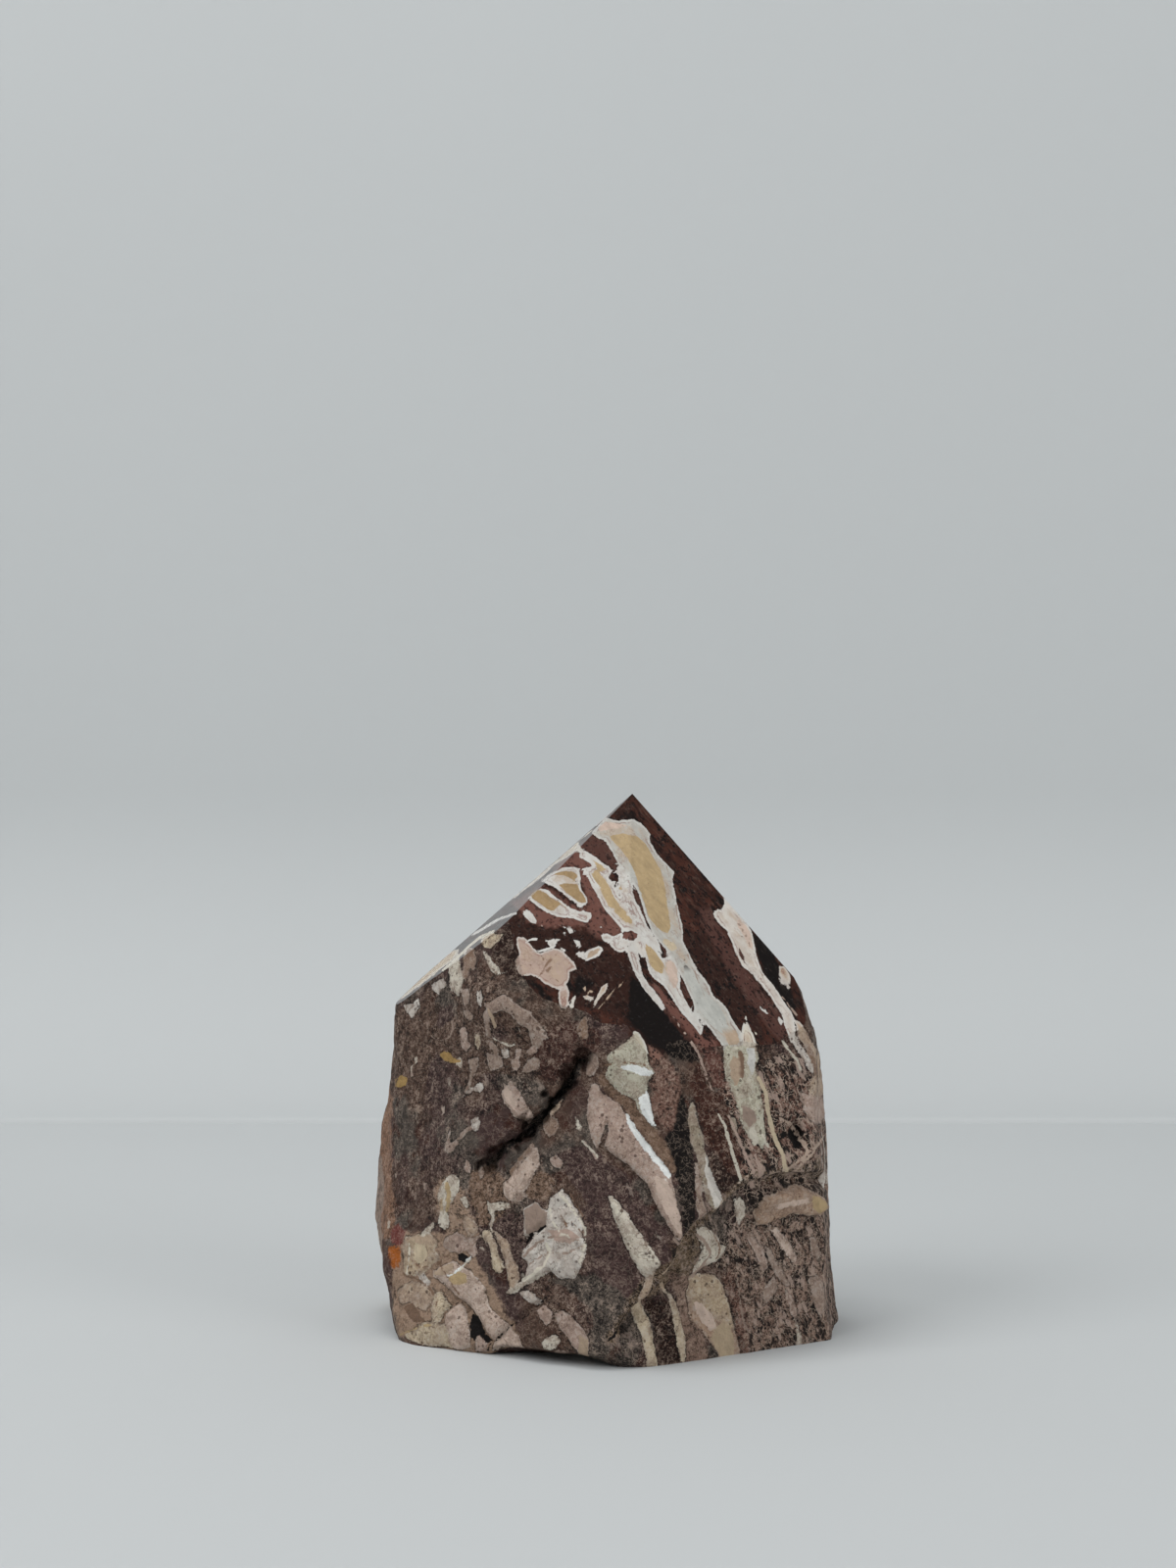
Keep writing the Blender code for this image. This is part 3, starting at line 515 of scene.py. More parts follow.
    "tan crumb": ("buff", [(593, 1018), (598, 1015), (606, 1018), (604, 1026), (600, 1022), (596, 1020)]),
    "strip in the black": ("buff", [(604, 1026), (610, 1014), (615, 1006), (621, 1002), (619, 1010),
        (612, 1019), (606, 1028)]),
    "tan lump": ("brown", [(588, 1050), (590, 1043), (597, 1037), (601, 1048), (600, 1061), (592, 1061)]),
    "upright cream": ("ivory", [(455, 1201), (462, 1197), (468, 1202), (470, 1210), (465, 1220),
        (460, 1228), (455, 1235), (450, 1230), (446, 1222), (449, 1212)]),
    "cream below it": ("ivory", [(449, 1236), (456, 1234), (459, 1245), (455, 1257), (448, 1251),
        (447, 1242)]),
    "chip thirteen": ("ivory", [(469, 1222), (475, 1221), (479, 1233), (474, 1231)]),
    "brown chip": ("buff", [(474, 1240), (482, 1244), (488, 1252), (486, 1260), (478, 1261), (473, 1252)]),
    "pale tangle": ("rose", [(456, 1262), (466, 1257), (474, 1262), (482, 1264), (489, 1260), (486, 1270),
        (476, 1275), (468, 1281), (462, 1277), (458, 1270)]),
    "pale fork": ("ivory", [(496, 1224), (502, 1228), (510, 1226), (521, 1228), (522, 1232), (512, 1234),
        (505, 1236), (504, 1244), (502, 1255), (499, 1250), (502, 1242), (498, 1235)]),
    "bent tan, left": ("cream", [(491, 1256), (499, 1254), (504, 1262), (507, 1272), (512, 1285),
        (515, 1293), (512, 1300), (506, 1299), (502, 1290), (501, 1280), (498, 1270), (493, 1264)]),
    "bent tan, right": ("buff", [(501, 1253), (508, 1257), (516, 1263), (521, 1272), (524, 1282),
        (528, 1292), (531, 1305), (527, 1316), (521, 1319), (519, 1310), (518, 1298), (514, 1285),
        (511, 1273), (507, 1262)]),
    "tail": ("ivory", [(516, 1319), (524, 1311), (534, 1307), (545, 1300), (553, 1292), (560, 1282),
        (566, 1283), (564, 1293), (556, 1302), (534, 1313), (525, 1321)]),
    "crumpled clast": ("chalk", [(534, 1234), (546, 1226), (553, 1232), (560, 1235), (561, 1222),
        (568, 1218), (575, 1212), (583, 1226), (590, 1236), (597, 1252), (594, 1257), (599, 1275),
        (596, 1288), (590, 1297), (588, 1304), (572, 1305), (562, 1297), (557, 1301), (540, 1309),
        (536, 1301), (540, 1290), (532, 1283), (534, 1275), (545, 1262), (536, 1262), (535, 1250)]),
    "small pale low": ("chalk", [(530, 1318), (538, 1316), (546, 1321), (552, 1328), (547, 1332),
        (540, 1328), (533, 1323)]),
    "pale beside it": ("rose", [(546, 1337), (556, 1332), (564, 1338), (562, 1349), (558, 1353)]),
    "pinkish strip": ("rose", [(565, 1340), (574, 1337), (582, 1342), (598, 1360), (601, 1370),
        (601, 1396), (591, 1395), (590, 1380), (580, 1368), (574, 1358), (568, 1350)]),
    "white pebble": ("ivory", [(552, 1370), (558, 1364), (566, 1361), (572, 1368), (567, 1376),
        (561, 1380), (555, 1377)]),
    "bottom chip": ("rose", [(565, 1380), (576, 1377), (581, 1385), (577, 1393), (566, 1390)]),
    "cream corner region": ("warm cream", [(414, 1262), (430, 1259), (440, 1260), (447, 1266), (444, 1275),
        (449, 1285), (440, 1293), (430, 1301), (420, 1303), (413, 1301), (412, 1285), (411, 1274)]),
    "big pale bottom": ("pink", [(443, 1296), (455, 1290), (463, 1287), (470, 1291), (480, 1296),
        (488, 1304), (495, 1314), (497, 1328), (502, 1338), (512, 1345), (520, 1353), (510, 1363),
        (503, 1369), (495, 1359), (490, 1349), (485, 1341), (455, 1311), (448, 1306), (441, 1303)]),
    "pink low left": ("pink", [(454, 1341), (462, 1333), (470, 1329), (475, 1334), (477, 1345),
        (480, 1358), (480, 1375), (468, 1377), (459, 1372), (457, 1358), (453, 1350)]),
    "pale between": ("rose", [(484, 1362), (492, 1361), (497, 1370), (497, 1380), (486, 1378)]),
    "pink triangle": ("pink", [(502, 1371), (520, 1353), (527, 1362), (532, 1370), (538, 1386),
        (520, 1384), (503, 1381)]),
    "tan low left": ("buff", [(405, 1318), (412, 1310), (425, 1307), (436, 1311), (443, 1318), (440, 1330),
        (434, 1338), (425, 1334), (418, 1328), (409, 1331)]),
    "cream at the bottom": ("cream", [(426, 1352), (436, 1349), (446, 1352), (455, 1351), (458, 1362),
        (461, 1375), (445, 1373), (430, 1369), (423, 1362)]),
    "tall pale": ("cream", [(443, 1320), (450, 1316), (456, 1326), (460, 1332), (452, 1340), (449, 1348),
        (441, 1350), (440, 1335)]),
    "small white low": ("chalk", [(427, 1303), (434, 1301), (440, 1308), (436, 1313), (431, 1309)]),
}

# Cores: what lies inside the clasts or over them, and painted shade in hollows
CORES = {
    "core under the tip": ("tan", [(620, 853), (636, 850), (648, 853), (655, 857), (662, 866), (668, 878),
        (675, 890), (678, 900), (684, 945), (682, 953), (676, 951), (668, 945), (662, 935), (652, 905),
        (648, 890), (644, 882), (640, 875), (632, 865)]),
    "pinkish above the core": ("pink", [(610, 844), (618, 838), (630, 841), (640, 842), (634, 845),
        (620, 847), (612, 849)]),
    "tan foot": ("cream", [(674, 958), (688, 960), (692, 970), (684, 970)]),
    "core of the second clast": ("tan", [(601, 887), (610, 888), (616, 897), (622, 905), (626, 915),
        (642, 935), (647, 943), (640, 943), (622, 925), (616, 915), (610, 903), (604, 893)]),
    "core of the blob": ("tan", [(604, 878), (614, 882), (619, 887), (612, 886)]),
    "core of the ring": ("rose", [(596, 887), (599, 887), (600, 890), (597, 891)]),
    "core of the shard": ("tan", [(631, 900), (637, 901), (639, 907), (632, 908)]),
    "core of the strip": ("tan", [(657, 961), (666, 968), (673, 978), (679, 988), (675, 994), (667, 990),
        (662, 980)]),
    "pink end of the strip": ("pink", [(680, 982), (685, 979), (691, 989), (692, 1001), (689, 1010),
        (683, 1000), (680, 990)]),
    "upper fan, first core": ("dark tan", [(562, 892), (573, 889), (583, 889), (589, 892), (590, 900),
        (584, 898), (576, 893), (568, 893)]),
    "upper fan, second core": ("dark tan", [(570, 903), (580, 901), (588, 902), (592, 909), (598, 917),
        (598, 922), (590, 920), (580, 912)]),
    "lower fan, core": ("dark tan", [(540, 913), (549, 907), (557, 911), (565, 918), (574, 923),
        (581, 928), (570, 925), (565, 930), (560, 929), (552, 923), (544, 918)]),
    "core of the box": ("buff", [(597, 975), (603, 971), (610, 967), (613, 970), (605, 975), (599, 979)]),
    "grey green in the band": ("band", [(698, 982), (706, 992), (714, 1004), (722, 1014), (734, 1026),
        (742, 1042), (744, 1056), (732, 1052), (722, 1042), (712, 1028), (706, 1012), (698, 996)]),
    "tan spot in the band": ("buff", [(740, 1052), (750, 1049), (756, 1060), (752, 1066), (743, 1066)]),
    "dark hole in the band": ("dark maroon", [(697, 977), (700, 976), (701, 984), (698, 985)]),
    "dark streak in the right band": ("deep mauve", [(751, 961), (757, 972), (763, 982), (769, 993),
        (764, 989), (757, 979), (752, 969)]),
    "pink side of the right band": ("pink", [(751, 934), (762, 945), (767, 958), (769, 971), (765, 970),
        (760, 956), (753, 945)]),
    "white in the cream band": ("white", [(762, 1069), (769, 1070), (771, 1086), (767, 1097), (762, 1086)]),
    "tan in the cream band": ("buff", [(748, 1078), (756, 1080), (756, 1096), (750, 1110), (745, 1098),
        (744, 1086)]),
    # The fan's ridge and foot in bright white: white rock, brightened as a painted highlight where the
    # ridges catch the light.
    "white ridge of the fan": ("bright white", [(630, 1087), (645, 1086), (660, 1089), (668, 1095),
        (660, 1099), (648, 1094), (636, 1091)]),
    "white foot of the fan": ("bright white", [(652, 1121), (660, 1112), (664, 1130), (667, 1145),
        (673, 1153), (664, 1148), (655, 1136)]),
    "white edge of the finger": ("bright white", [(636, 1130), (642, 1140), (650, 1152), (674, 1184),
        (685, 1198), (682, 1203), (668, 1186), (655, 1170), (644, 1154)]),
    "chalky end of the finger": ("pink", [(668, 1200), (682, 1206), (689, 1224), (693, 1240), (696, 1262),
        (690, 1256), (682, 1240), (672, 1222)]),
    "ochre spot": ("ochre", [(404, 1101), (409, 1097), (416, 1101), (414, 1107), (408, 1110), (403, 1108)]),
    "ochre patch": ("ochre", [(448, 1075), (456, 1073), (463, 1079), (470, 1083), (462, 1086),
        (452, 1081)]),
    "bright foot of the thin clast": ("chalk", [(720, 1176), (724, 1190), (731, 1208), (738, 1227),
        (732, 1236), (726, 1226), (722, 1212), (718, 1196)]),
    "ochre in the pale bottom": ("tan", [(458, 1300), (468, 1297), (478, 1300), (477, 1309), (467, 1312),
        (459, 1307)]),
    "ochre top of it": ("buff", [(443, 1297), (455, 1291), (463, 1289), (464, 1295), (453, 1301),
        (444, 1303)]),
    "ochre in the upright cream": ("tan", [(457, 1205), (461, 1210), (460, 1222), (458, 1237), (455, 1238),
        (456, 1220)]),
    "tan end of the strip": ("buff", [(591, 1362), (600, 1368), (601, 1396), (593, 1395), (590, 1378)]),
    "pink in the crumpled clast": ("dusky pink", [(536, 1235), (547, 1228), (560, 1238), (557, 1252),
        (546, 1258), (538, 1260), (536, 1248)]),
    "pink under it": ("rose", [(562, 1256), (580, 1254), (594, 1262), (584, 1270), (568, 1266)]),
    "tan of the cream region": ("buff", [(424, 1262), (440, 1263), (444, 1268), (432, 1272), (424, 1268)]),
    "ochre end of the lens": ("tan", [(826, 1216), (836, 1222), (842, 1232), (834, 1238), (826, 1232)]),
    "brown in the band": ("brown", [(752, 1070), (758, 1076), (760, 1092), (757, 1104), (753, 1096),
        (752, 1082)]),
    "white low in the band": ("ivory", [(764, 1146), (770, 1150), (774, 1168), (769, 1170), (765, 1158)]),
    "brown low in the band": ("dusky pink", [(756, 1128), (768, 1132), (772, 1144), (764, 1152),
        (758, 1142)]),
    "light line on the lens": ("pink", [(790, 1227), (805, 1223), (822, 1220), (824, 1225), (806, 1228),
        (792, 1231)]),
    "cream at its foot": ("warm cream", [(728, 1356), (737, 1349), (745, 1354), (749, 1366), (748, 1384),
        (738, 1386), (731, 1378), (726, 1366)]),
    "pink in the tan patch": ("pink", [(706, 1326), (716, 1330), (726, 1342), (732, 1356), (724, 1358),
        (714, 1346)]),
    "pale side of the diamond": ("pink", [(513, 1104), (520, 1110), (528, 1124), (526, 1132), (516, 1122)]),
    "cream lobe of the rubble": ("cream", [(424, 1268), (434, 1270), (438, 1280), (430, 1290),
        (422, 1284)]),
    # Dark pocket and wedge in the colour of shade: painted shade in hollows among the rubble.
    "dark pocket": ("shade", [(480, 1340), (486, 1343), (490, 1350), (494, 1359), (500, 1369), (496, 1371),
        (489, 1362), (484, 1369), (480, 1364)]),
    "dark wedge": ("shade", [(465, 1280), (472, 1278), (480, 1284), (478, 1290), (470, 1288)]),
    "dark patch low left": ("brown", [(410, 1334), (420, 1330), (428, 1338), (433, 1348), (424, 1350),
        (416, 1342)]),
    # Holes in the net and the pit in the colour of shade: painted shade inside them; the pit is also pressed
    # in.
    "hole in the net": ("shade", [(796, 1157), (801, 1154), (803, 1160), (798, 1163)]),
    "hole two": ("shade", [(790, 1168), (795, 1165), (797, 1172), (792, 1176)]),
    "pit": ("shade", [(806, 1152), (812, 1148), (818, 1152), (820, 1164), (822, 1172), (814, 1172),
        (810, 1164), (804, 1160)]),
}

# Veins: thin lines, with their width in pixels; a few stand for painted shade in cracks and creases, and one
# for a painted highlight
VEINS = {
    "line through the glass": ("rose", 2.4, [(680, 1028), (700, 1056), (713, 1075), (718, 1090),
        (725, 1110)]),
    "line on the purple": ("rose", 2.8, [(744, 1140), (760, 1176), (766, 1190), (771, 1200)]),
    "line on the right": ("cream", 4.0, [(774, 1100), (781, 1114), (784, 1137), (792, 1164), (799, 1180),
        (803, 1196)]),
    "second line on the purple": ("ivory", 2.8, [(733, 1137), (740, 1150), (743, 1162), (748, 1178),
        (757, 1205)]),
    "tail of the band": ("rose", 3.4, [(771, 1178), (775, 1190), (776, 1206), (773, 1216)]),
    "second tail": ("ivory", 2.6, [(777, 1158), (784, 1170)]),
    "fibre over the pit": ("fleck", 3.0, [(796, 1142), (806, 1146), (813, 1154), (820, 1164), (824, 1174),
        (818, 1184)]),
    "fibre to the edge": ("fleck", 2.0, [(838, 1164), (828, 1178), (816, 1190), (806, 1204)]),
    "crack in the pink, two": ("brown", 1.3, [(556, 989), (566, 984), (578, 984), (586, 980)]),
    "crack in the pink, three": ("brown", 1.2, [(557, 990), (562, 998), (572, 1002)]),
    "crack in the pink, four": ("brown", 1.1, [(554, 976), (556, 989), (546, 1000)]),
    "crack in the pink, five": ("brown", 1.1, [(530, 972), (540, 984), (548, 988)]),
    "streak in the main band": ("mauve", 1.0, [(620, 866), (632, 884), (644, 904), (652, 926)]),
    "streak two in the main band": ("dusky pink", 1.4, [(698, 966), (706, 984), (714, 1004), (722, 1022)]),
    "streak three in the main band": ("dusky pink", 1.2, [(668, 862), (680, 884), (688, 910), (692, 940)]),
    "streak in the right band": ("mauve", 1.2, [(738, 948), (748, 966), (756, 984), (766, 1000)]),
    "streak two in the right band": ("dusky pink", 1.6, [(752, 940), (762, 956), (770, 980), (782, 1002),
        (796, 1022)]),
    "stained edge": ("tan", 2.0, [(409, 1362), (420, 1357), (432, 1353), (444, 1352)]),
    "fold three": ("dusky pink", 2.6, [(536, 1282), (550, 1268), (566, 1262), (592, 1266)]),
    "fold four": ("dusky pink", 2.2, [(542, 1290), (560, 1278), (580, 1279), (595, 1272)]),
    "fold five": ("brown", 1.4, [(580, 1214), (588, 1230), (597, 1244)]),
    "fold in the folds": ("dusky pink", 3.0, [(716, 1262), (722, 1275), (716, 1292), (706, 1302)]),
    "fold in the folds, two": ("brown", 2.0, [(724, 1256), (732, 1268), (730, 1284)]),
    "fibre one": ("fleck", 1.4, [(842, 1158), (826, 1176), (806, 1192), (784, 1200), (764, 1212)]),
    "fibre two": ("dusky pink", 1.6, [(846, 1172), (822, 1188), (796, 1196), (770, 1206), (748, 1226)]),
    "fibre three": ("fleck", 1.2, [(790, 1186), (768, 1196), (748, 1212), (732, 1232), (714, 1250)]),
    "fibre four": ("buff", 1.4, [(736, 1228), (718, 1246), (704, 1262), (694, 1284), (676, 1300)]),
    "crack in the rubble": ("brown", 2.0, [(412, 1300), (424, 1304), (438, 1314), (446, 1326),
        (444, 1344)]),
    "crack in the rubble, two": ("brown", 1.6, [(446, 1286), (456, 1300), (466, 1316), (476, 1330)]),
    "crack in the rubble, three": ("brown", 2.0, [(414, 1280), (430, 1294), (446, 1290), (458, 1280)]),
    "short crooked line": ("ivory", 2.4, [(799, 1062), (806, 1074), (814, 1082), (817, 1092)]),
    "second crooked": ("rose", 3.0, [(812, 1084), (816, 1094), (822, 1102)]),
    "left facet line": ("white", 2.6, [(526, 932), (508, 938), (494, 947), (482, 954)]),
    "left facet, second line": ("ivory", 2.4, [(504, 950), (490, 956), (478, 966), (464, 980), (452, 990)]),
    "left facet, third line": ("ivory", 3.0, [(604, 846), (592, 856), (560, 880)]),
    "seam under the arch": ("buff", 3.0, [(499, 1030), (503, 1040), (505, 1048)]),
    "fibre in the black": ("buff", 1.2, [(610, 1030), (624, 1012), (636, 1003)]),
    "white hook on the ochre": ("bright white", 2.2, [(480, 1282), (472, 1292), (464, 1300), (458, 1302)]),
    "pale edge low left": ("ivory", 1.6, [(420, 1268), (416, 1300)]),
    "edge of the crumpled clast": ("ivory", 2.4, [(572, 1216), (592, 1244), (597, 1254), (597, 1272),
        (593, 1290)]),
    "fold in the crumpled clast": ("ivory", 1.8, [(562, 1232), (566, 1246), (572, 1258), (584, 1262)]),
    "second fold": ("brown", 1.8, [(570, 1226), (575, 1240), (580, 1252)]),
    "curl": ("ivory", 4.0, [(534, 1306), (548, 1300), (558, 1290), (562, 1278), (560, 1270)]),
    "streak beside the finger": ("ivory", 2.6, [(594, 1164), (602, 1172), (609, 1180)]),
    "edge of the fans": ("rose", 1.4, [(548, 941), (556, 947), (576, 943)]),
    "loop above the pink clast": ("white", 2.2, [(541, 959), (548, 958), (560, 961)]),
    "edge of the pink clast": ("white", 2.4, [(537, 962), (546, 972), (566, 966), (577, 970)]),
    "crack in the pink clast": ("brown", 1.6, [(554, 989), (561, 980), (569, 973)]),
    "fine line in the black": ("deep mauve", 1.4, [(615, 1028), (622, 1017), (630, 1007), (641, 998)]),
    "crooked line": ("buff", 2.0, [(590, 1001), (596, 1008), (599, 1016), (596, 1020)]),
    "second crooked line": ("buff", 1.4, [(596, 1004), (602, 1010), (607, 1014)]),
    "short line": ("ivory", 2.2, [(722, 976), (728, 981)]),
    "line by the dark": ("ivory", 1.8, [(767, 1048), (772, 1057)]),
    "line by the edge": ("dusky pink", 2.0, [(797, 1016), (813, 1036)]),
    "streak in the core": ("cream", 1.2, [(662, 872), (670, 890), (675, 910)]),
    # The next three lines, in the colour of shade, run along cracks that are also pressed in as creases:
    # partly the cracks' dark seams, partly painted shade in them.
    "crack across the bottom": ("shade", 1.3, [(499, 1374), (520, 1353), (536, 1342), (551, 1328),
        (560, 1322)]),
    "crack beside the pink": ("shade", 1.5, [(450, 1346), (456, 1335), (468, 1328), (478, 1333),
        (486, 1345), (491, 1357), (500, 1369), (498, 1378)]),
    "crack in the crumpled clast": ("shade", 3.0, [(535, 1270), (542, 1260), (549, 1257), (556, 1251)]),
    "second crack there": ("brown", 2.4, [(585, 1247), (590, 1253), (595, 1258)]),
    "dark line of the fan": ("brown", 2.4, [(616, 1087), (626, 1085), (640, 1084), (660, 1087)]),
    "ring, left": ("dusky pink", 1.4, [(436, 1042), (437, 1052), (443, 1060), (452, 1062), (459, 1058),
        (462, 1050), (461, 1042)]),
    "fine white line": ("ivory", 2.0, [(503, 1059), (512, 1064), (520, 1067), (526, 1066)]),
    "white line low": ("rose", 1.8, [(596, 1164), (603, 1174), (609, 1182)]),
    # A pale line along the ledge's rim: painted highlight where the rim catches the light.
    "painted highlight on the rim of the ledge": ("buff", 1.6, [(697, 1262), (696, 1276), (689, 1292), (684, 1306), (683, 1320)]),
    "line below the ledge": ("dusky pink", 1.8, [(752, 1304), (755, 1325), (758, 1345), (763, 1358)]),
    # Painted shade in the crease where the ledge runs down to the base.
    "crease by the base": ("shade", 3.0, [(640, 1340), (634, 1352), (626, 1364), (616, 1370)]),
    "white arc": ("ivory", 2.4, [(470, 1296), (474, 1290), (480, 1284)]),
}

def screen_to_linear(colour):
    """A colour from 0 to 255 as it looks on screen, as linear light."""
    return [c / 255 / 12.92 if c / 255 <= 0.04045 else ((c / 255 + 0.055) / 1.055) ** 2.4 for c in colour]


def photo_place(places):
    """Pixels of the photograph at which the camera sees places, in metres."""
    far = places[:, 1] - CAMERA_AT.y
    across = PHOTO_WIDE / 2 + FOCAL_PX * (places[:, 0] - CAMERA_AT.x) / far
    down = PHOTO_HIGH / 2 - FOCAL_PX * (places[:, 2] - CAMERA_AT.z) / far
    return np.stack([across, down], axis=1)


def ease(t):
    """A soft step from 0 to 1."""
    t = np.clip(t, 0.0, 1.0)
    return t * t * (3.0 - 2.0 * t)


def around(pixels, line, reach):
    """The corners of a line, and which points lie in its box with some reach, and where."""
    corners = np.array(line, float)
    low, high = corners.min(0) - reach, corners.max(0) + reach
    near = np.flatnonzero(np.all((pixels > low) & (pixels < high), axis=1))
    return corners, near, pixels[near]


def within(pixels, outline, reach):
    """Signed distance in pixels from each point to an outline, positive inside; far points are left out."""
    corners, near, p = around(pixels, outline, reach)
    best = np.full(len(near), np.inf)
    inside = np.zeros(len(near), bool)
    for a, b in zip(corners, np.roll(corners, -1, axis=0)):
        along = b - a
        share = np.clip(((p - a) @ along) / (along @ along), 0.0, 1.0)
        best = np.minimum(best, np.hypot(*(p - a - share[:, None] * along).T))
        if a[1] != b[1]:
            crosses = (a[1] > p[:, 1]) != (b[1] > p[:, 1])
            inside ^= crosses & (p[:, 0] < a[0] + (p[:, 1] - a[1]) * along[0] / along[1])
    return near, np.where(inside, best, -best)


def beside(pixels, line, reach):
    """Distance in pixels to an open line, signed for its side, and how far points are past its ends."""
    corners, near, p = around(pixels, line, reach)
    best, side, past = np.full(len(near), np.inf), np.ones(len(near)), np.zeros(len(near))
    last = len(corners) - 2
    for i, (a, b) in enumerate(zip(corners, corners[1:])):
        along = b - a
        raw = ((p - a) @ along) / (along @ along)
        gap = p - a - np.clip(raw, 0.0, 1.0)[:, None] * along
        far = np.hypot(*gap.T)
        closer = far < best
        best = np.where(closer, far, best)
        side = np.where(closer, np.where(along[0] * gap[:, 1] >= along[1] * gap[:, 0], 1.0, -1.0), side)
        over = np.zeros(len(near))
        if i == 0:
            over = np.maximum(over, -raw * np.hypot(*along))
        if i == last:
            over = np.maximum(over, (raw - 1.0) * np.hypot(*along))
        past = np.where(closer, over, past)
    return near, best * side, past


def facing(bearing, rise):
    """Direction that a facet faces, from its bearing and rise in degrees."""
    turn, lift = math.radians(bearing), math.radians(rise)
    return Vector((math.cos(turn) * math.cos(lift), math.sin(turn) * math.cos(lift), math.sin(lift)))


def name_faces(bm):
    """Marks each face: 0 for the broken rock, a facet's number, or the base."""
    tip = max((v.co for v in bm.verts), key=lambda c: c.z).copy()
    kind = bm.faces.layers.int.new("facet")
    normals = [facing(*angles) for angles in FACETS.values()]
    for f in bm.faces:
        if all(v.co.z < FLAT for v in f.verts):
            f[kind] = BASE
            continue
        for i, normal in enumerate(normals):
            in_plane = all(abs((v.co - tip).dot(normal)) < 1.5 * FLAT for v in f.verts)
            if in_plane and f.normal.dot(normal) > 0.9:
                f[kind] = i + 1
    return kind


def fine_stone():
    """The CAD solid's surface, split fine where the camera sees it and coarser elsewhere."""
    bm = bmesh.new()
    bm.from_mesh(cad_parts[NODE].data)
    bmesh.ops.remove_doubles(bm, verts=bm.verts[:], dist=1e-7)
    bmesh.ops.triangulate(bm, faces=bm.faces[:])
    bm.normal_update()
    kind = name_faces(bm)
    traced = {list(FACETS).index(name) + 1 for name in TRACED_FACETS}
    coarse = 1.0
    for step in SPLIT_STEPS:
        long = []
        for e in bm.edges:
            middle = (e.verts[0].co + e.verts[1].co) / 2
            seen = any(f.normal.dot(CAMERA_AT - middle) > 0.0 for f in e.link_faces)
            limit = ROUGH_EDGE if seen else FAR_EDGE
            if any(f[kind] in traced for f in e.link_faces):
                limit = POLISHED_EDGE
            elif all(f[kind] == BASE for f in e.link_faces):
                limit = BASE_EDGE
            if e.calc_length() > limit * step * coarse * MM:
                long.append(e)
        bmesh.ops.subdivide_edges(bm, edges=long, cuts=1)
        bmesh.ops.triangulate(bm, faces=[f for f in bm.faces if len(f.verts) > 3])
        turnable = [
            e for e in bm.edges
            if e.is_manifold and e.link_faces[0][kind] == e.link_faces[1][kind]
            and e.link_faces[0].normal.dot(e.link_faces[1].normal) > 0.995]
        beside_them = list({f for e in turnable for f in e.link_faces})
        bmesh.ops.beautify_fill(bm, faces=beside_them, edges=turnable)
        bm.normal_update()
    # The rough faces are smoothed; the polished facets and the base stay flat, with their edges in place.
    free = [v for v in bm.verts if all(f[kind] == 0 for f in v.link_faces)]
    for _ in range(SMOOTHING):
        bmesh.ops.smooth_vert(bm, verts=free, factor=0.5, use_axis_x=True, use_axis_y=True, use_axis_z=True)
    bm.normal_update()
    return bm, kind


def noisy(places, size, at):
    """Smooth noise from about -1 to 1 at places in millimetres, with features of one size."""
    shift = Vector(at)
    return np.array([noise.noise(Vector(p) / size + shift) for p in places])


def waves(places, terms):
    """A sum of such noises, each with its height, size and shift."""
    return sum(height * noisy(places, size, at) for height, size, at in terms)


class Layer:
    """One layer of markings: how deep inside one each point is, in millimetres, and that one's colour."""

    def __init__(self, count):
        self.edges = np.full(count, UNMARKED)
        self.tints = np.zeros((count, 3))

    def add(self, near, inside, tint):
        """Draws one marking where it reaches deeper than those before it, and returns those points."""
        closer = inside > self.edges[near]
        won = near[closer]
        self.edges[won] = inside[closer]
        self.tints[won] = screen_to_linear(PALETTE[tint])
        return won


def bands_through(clasts, places, far):
    """The pale bands where the photograph doesn't show them: wavy sheets along the flow, broken up."""
    across, torn = places @ ACROSS + waves(places, SHEET_WAVES), 1.0 + waves(places, SHEET_TEARS)
    for at, half, tint in SHEETS:
        inside = half * torn - np.abs(across - at)
        clasts.add(np.arange(len(places)), inside, tint)
    clasts.edges = np.where(far > 0, clasts.edges - TURNED_AWAY * (1.0 - far), UNMARKED)


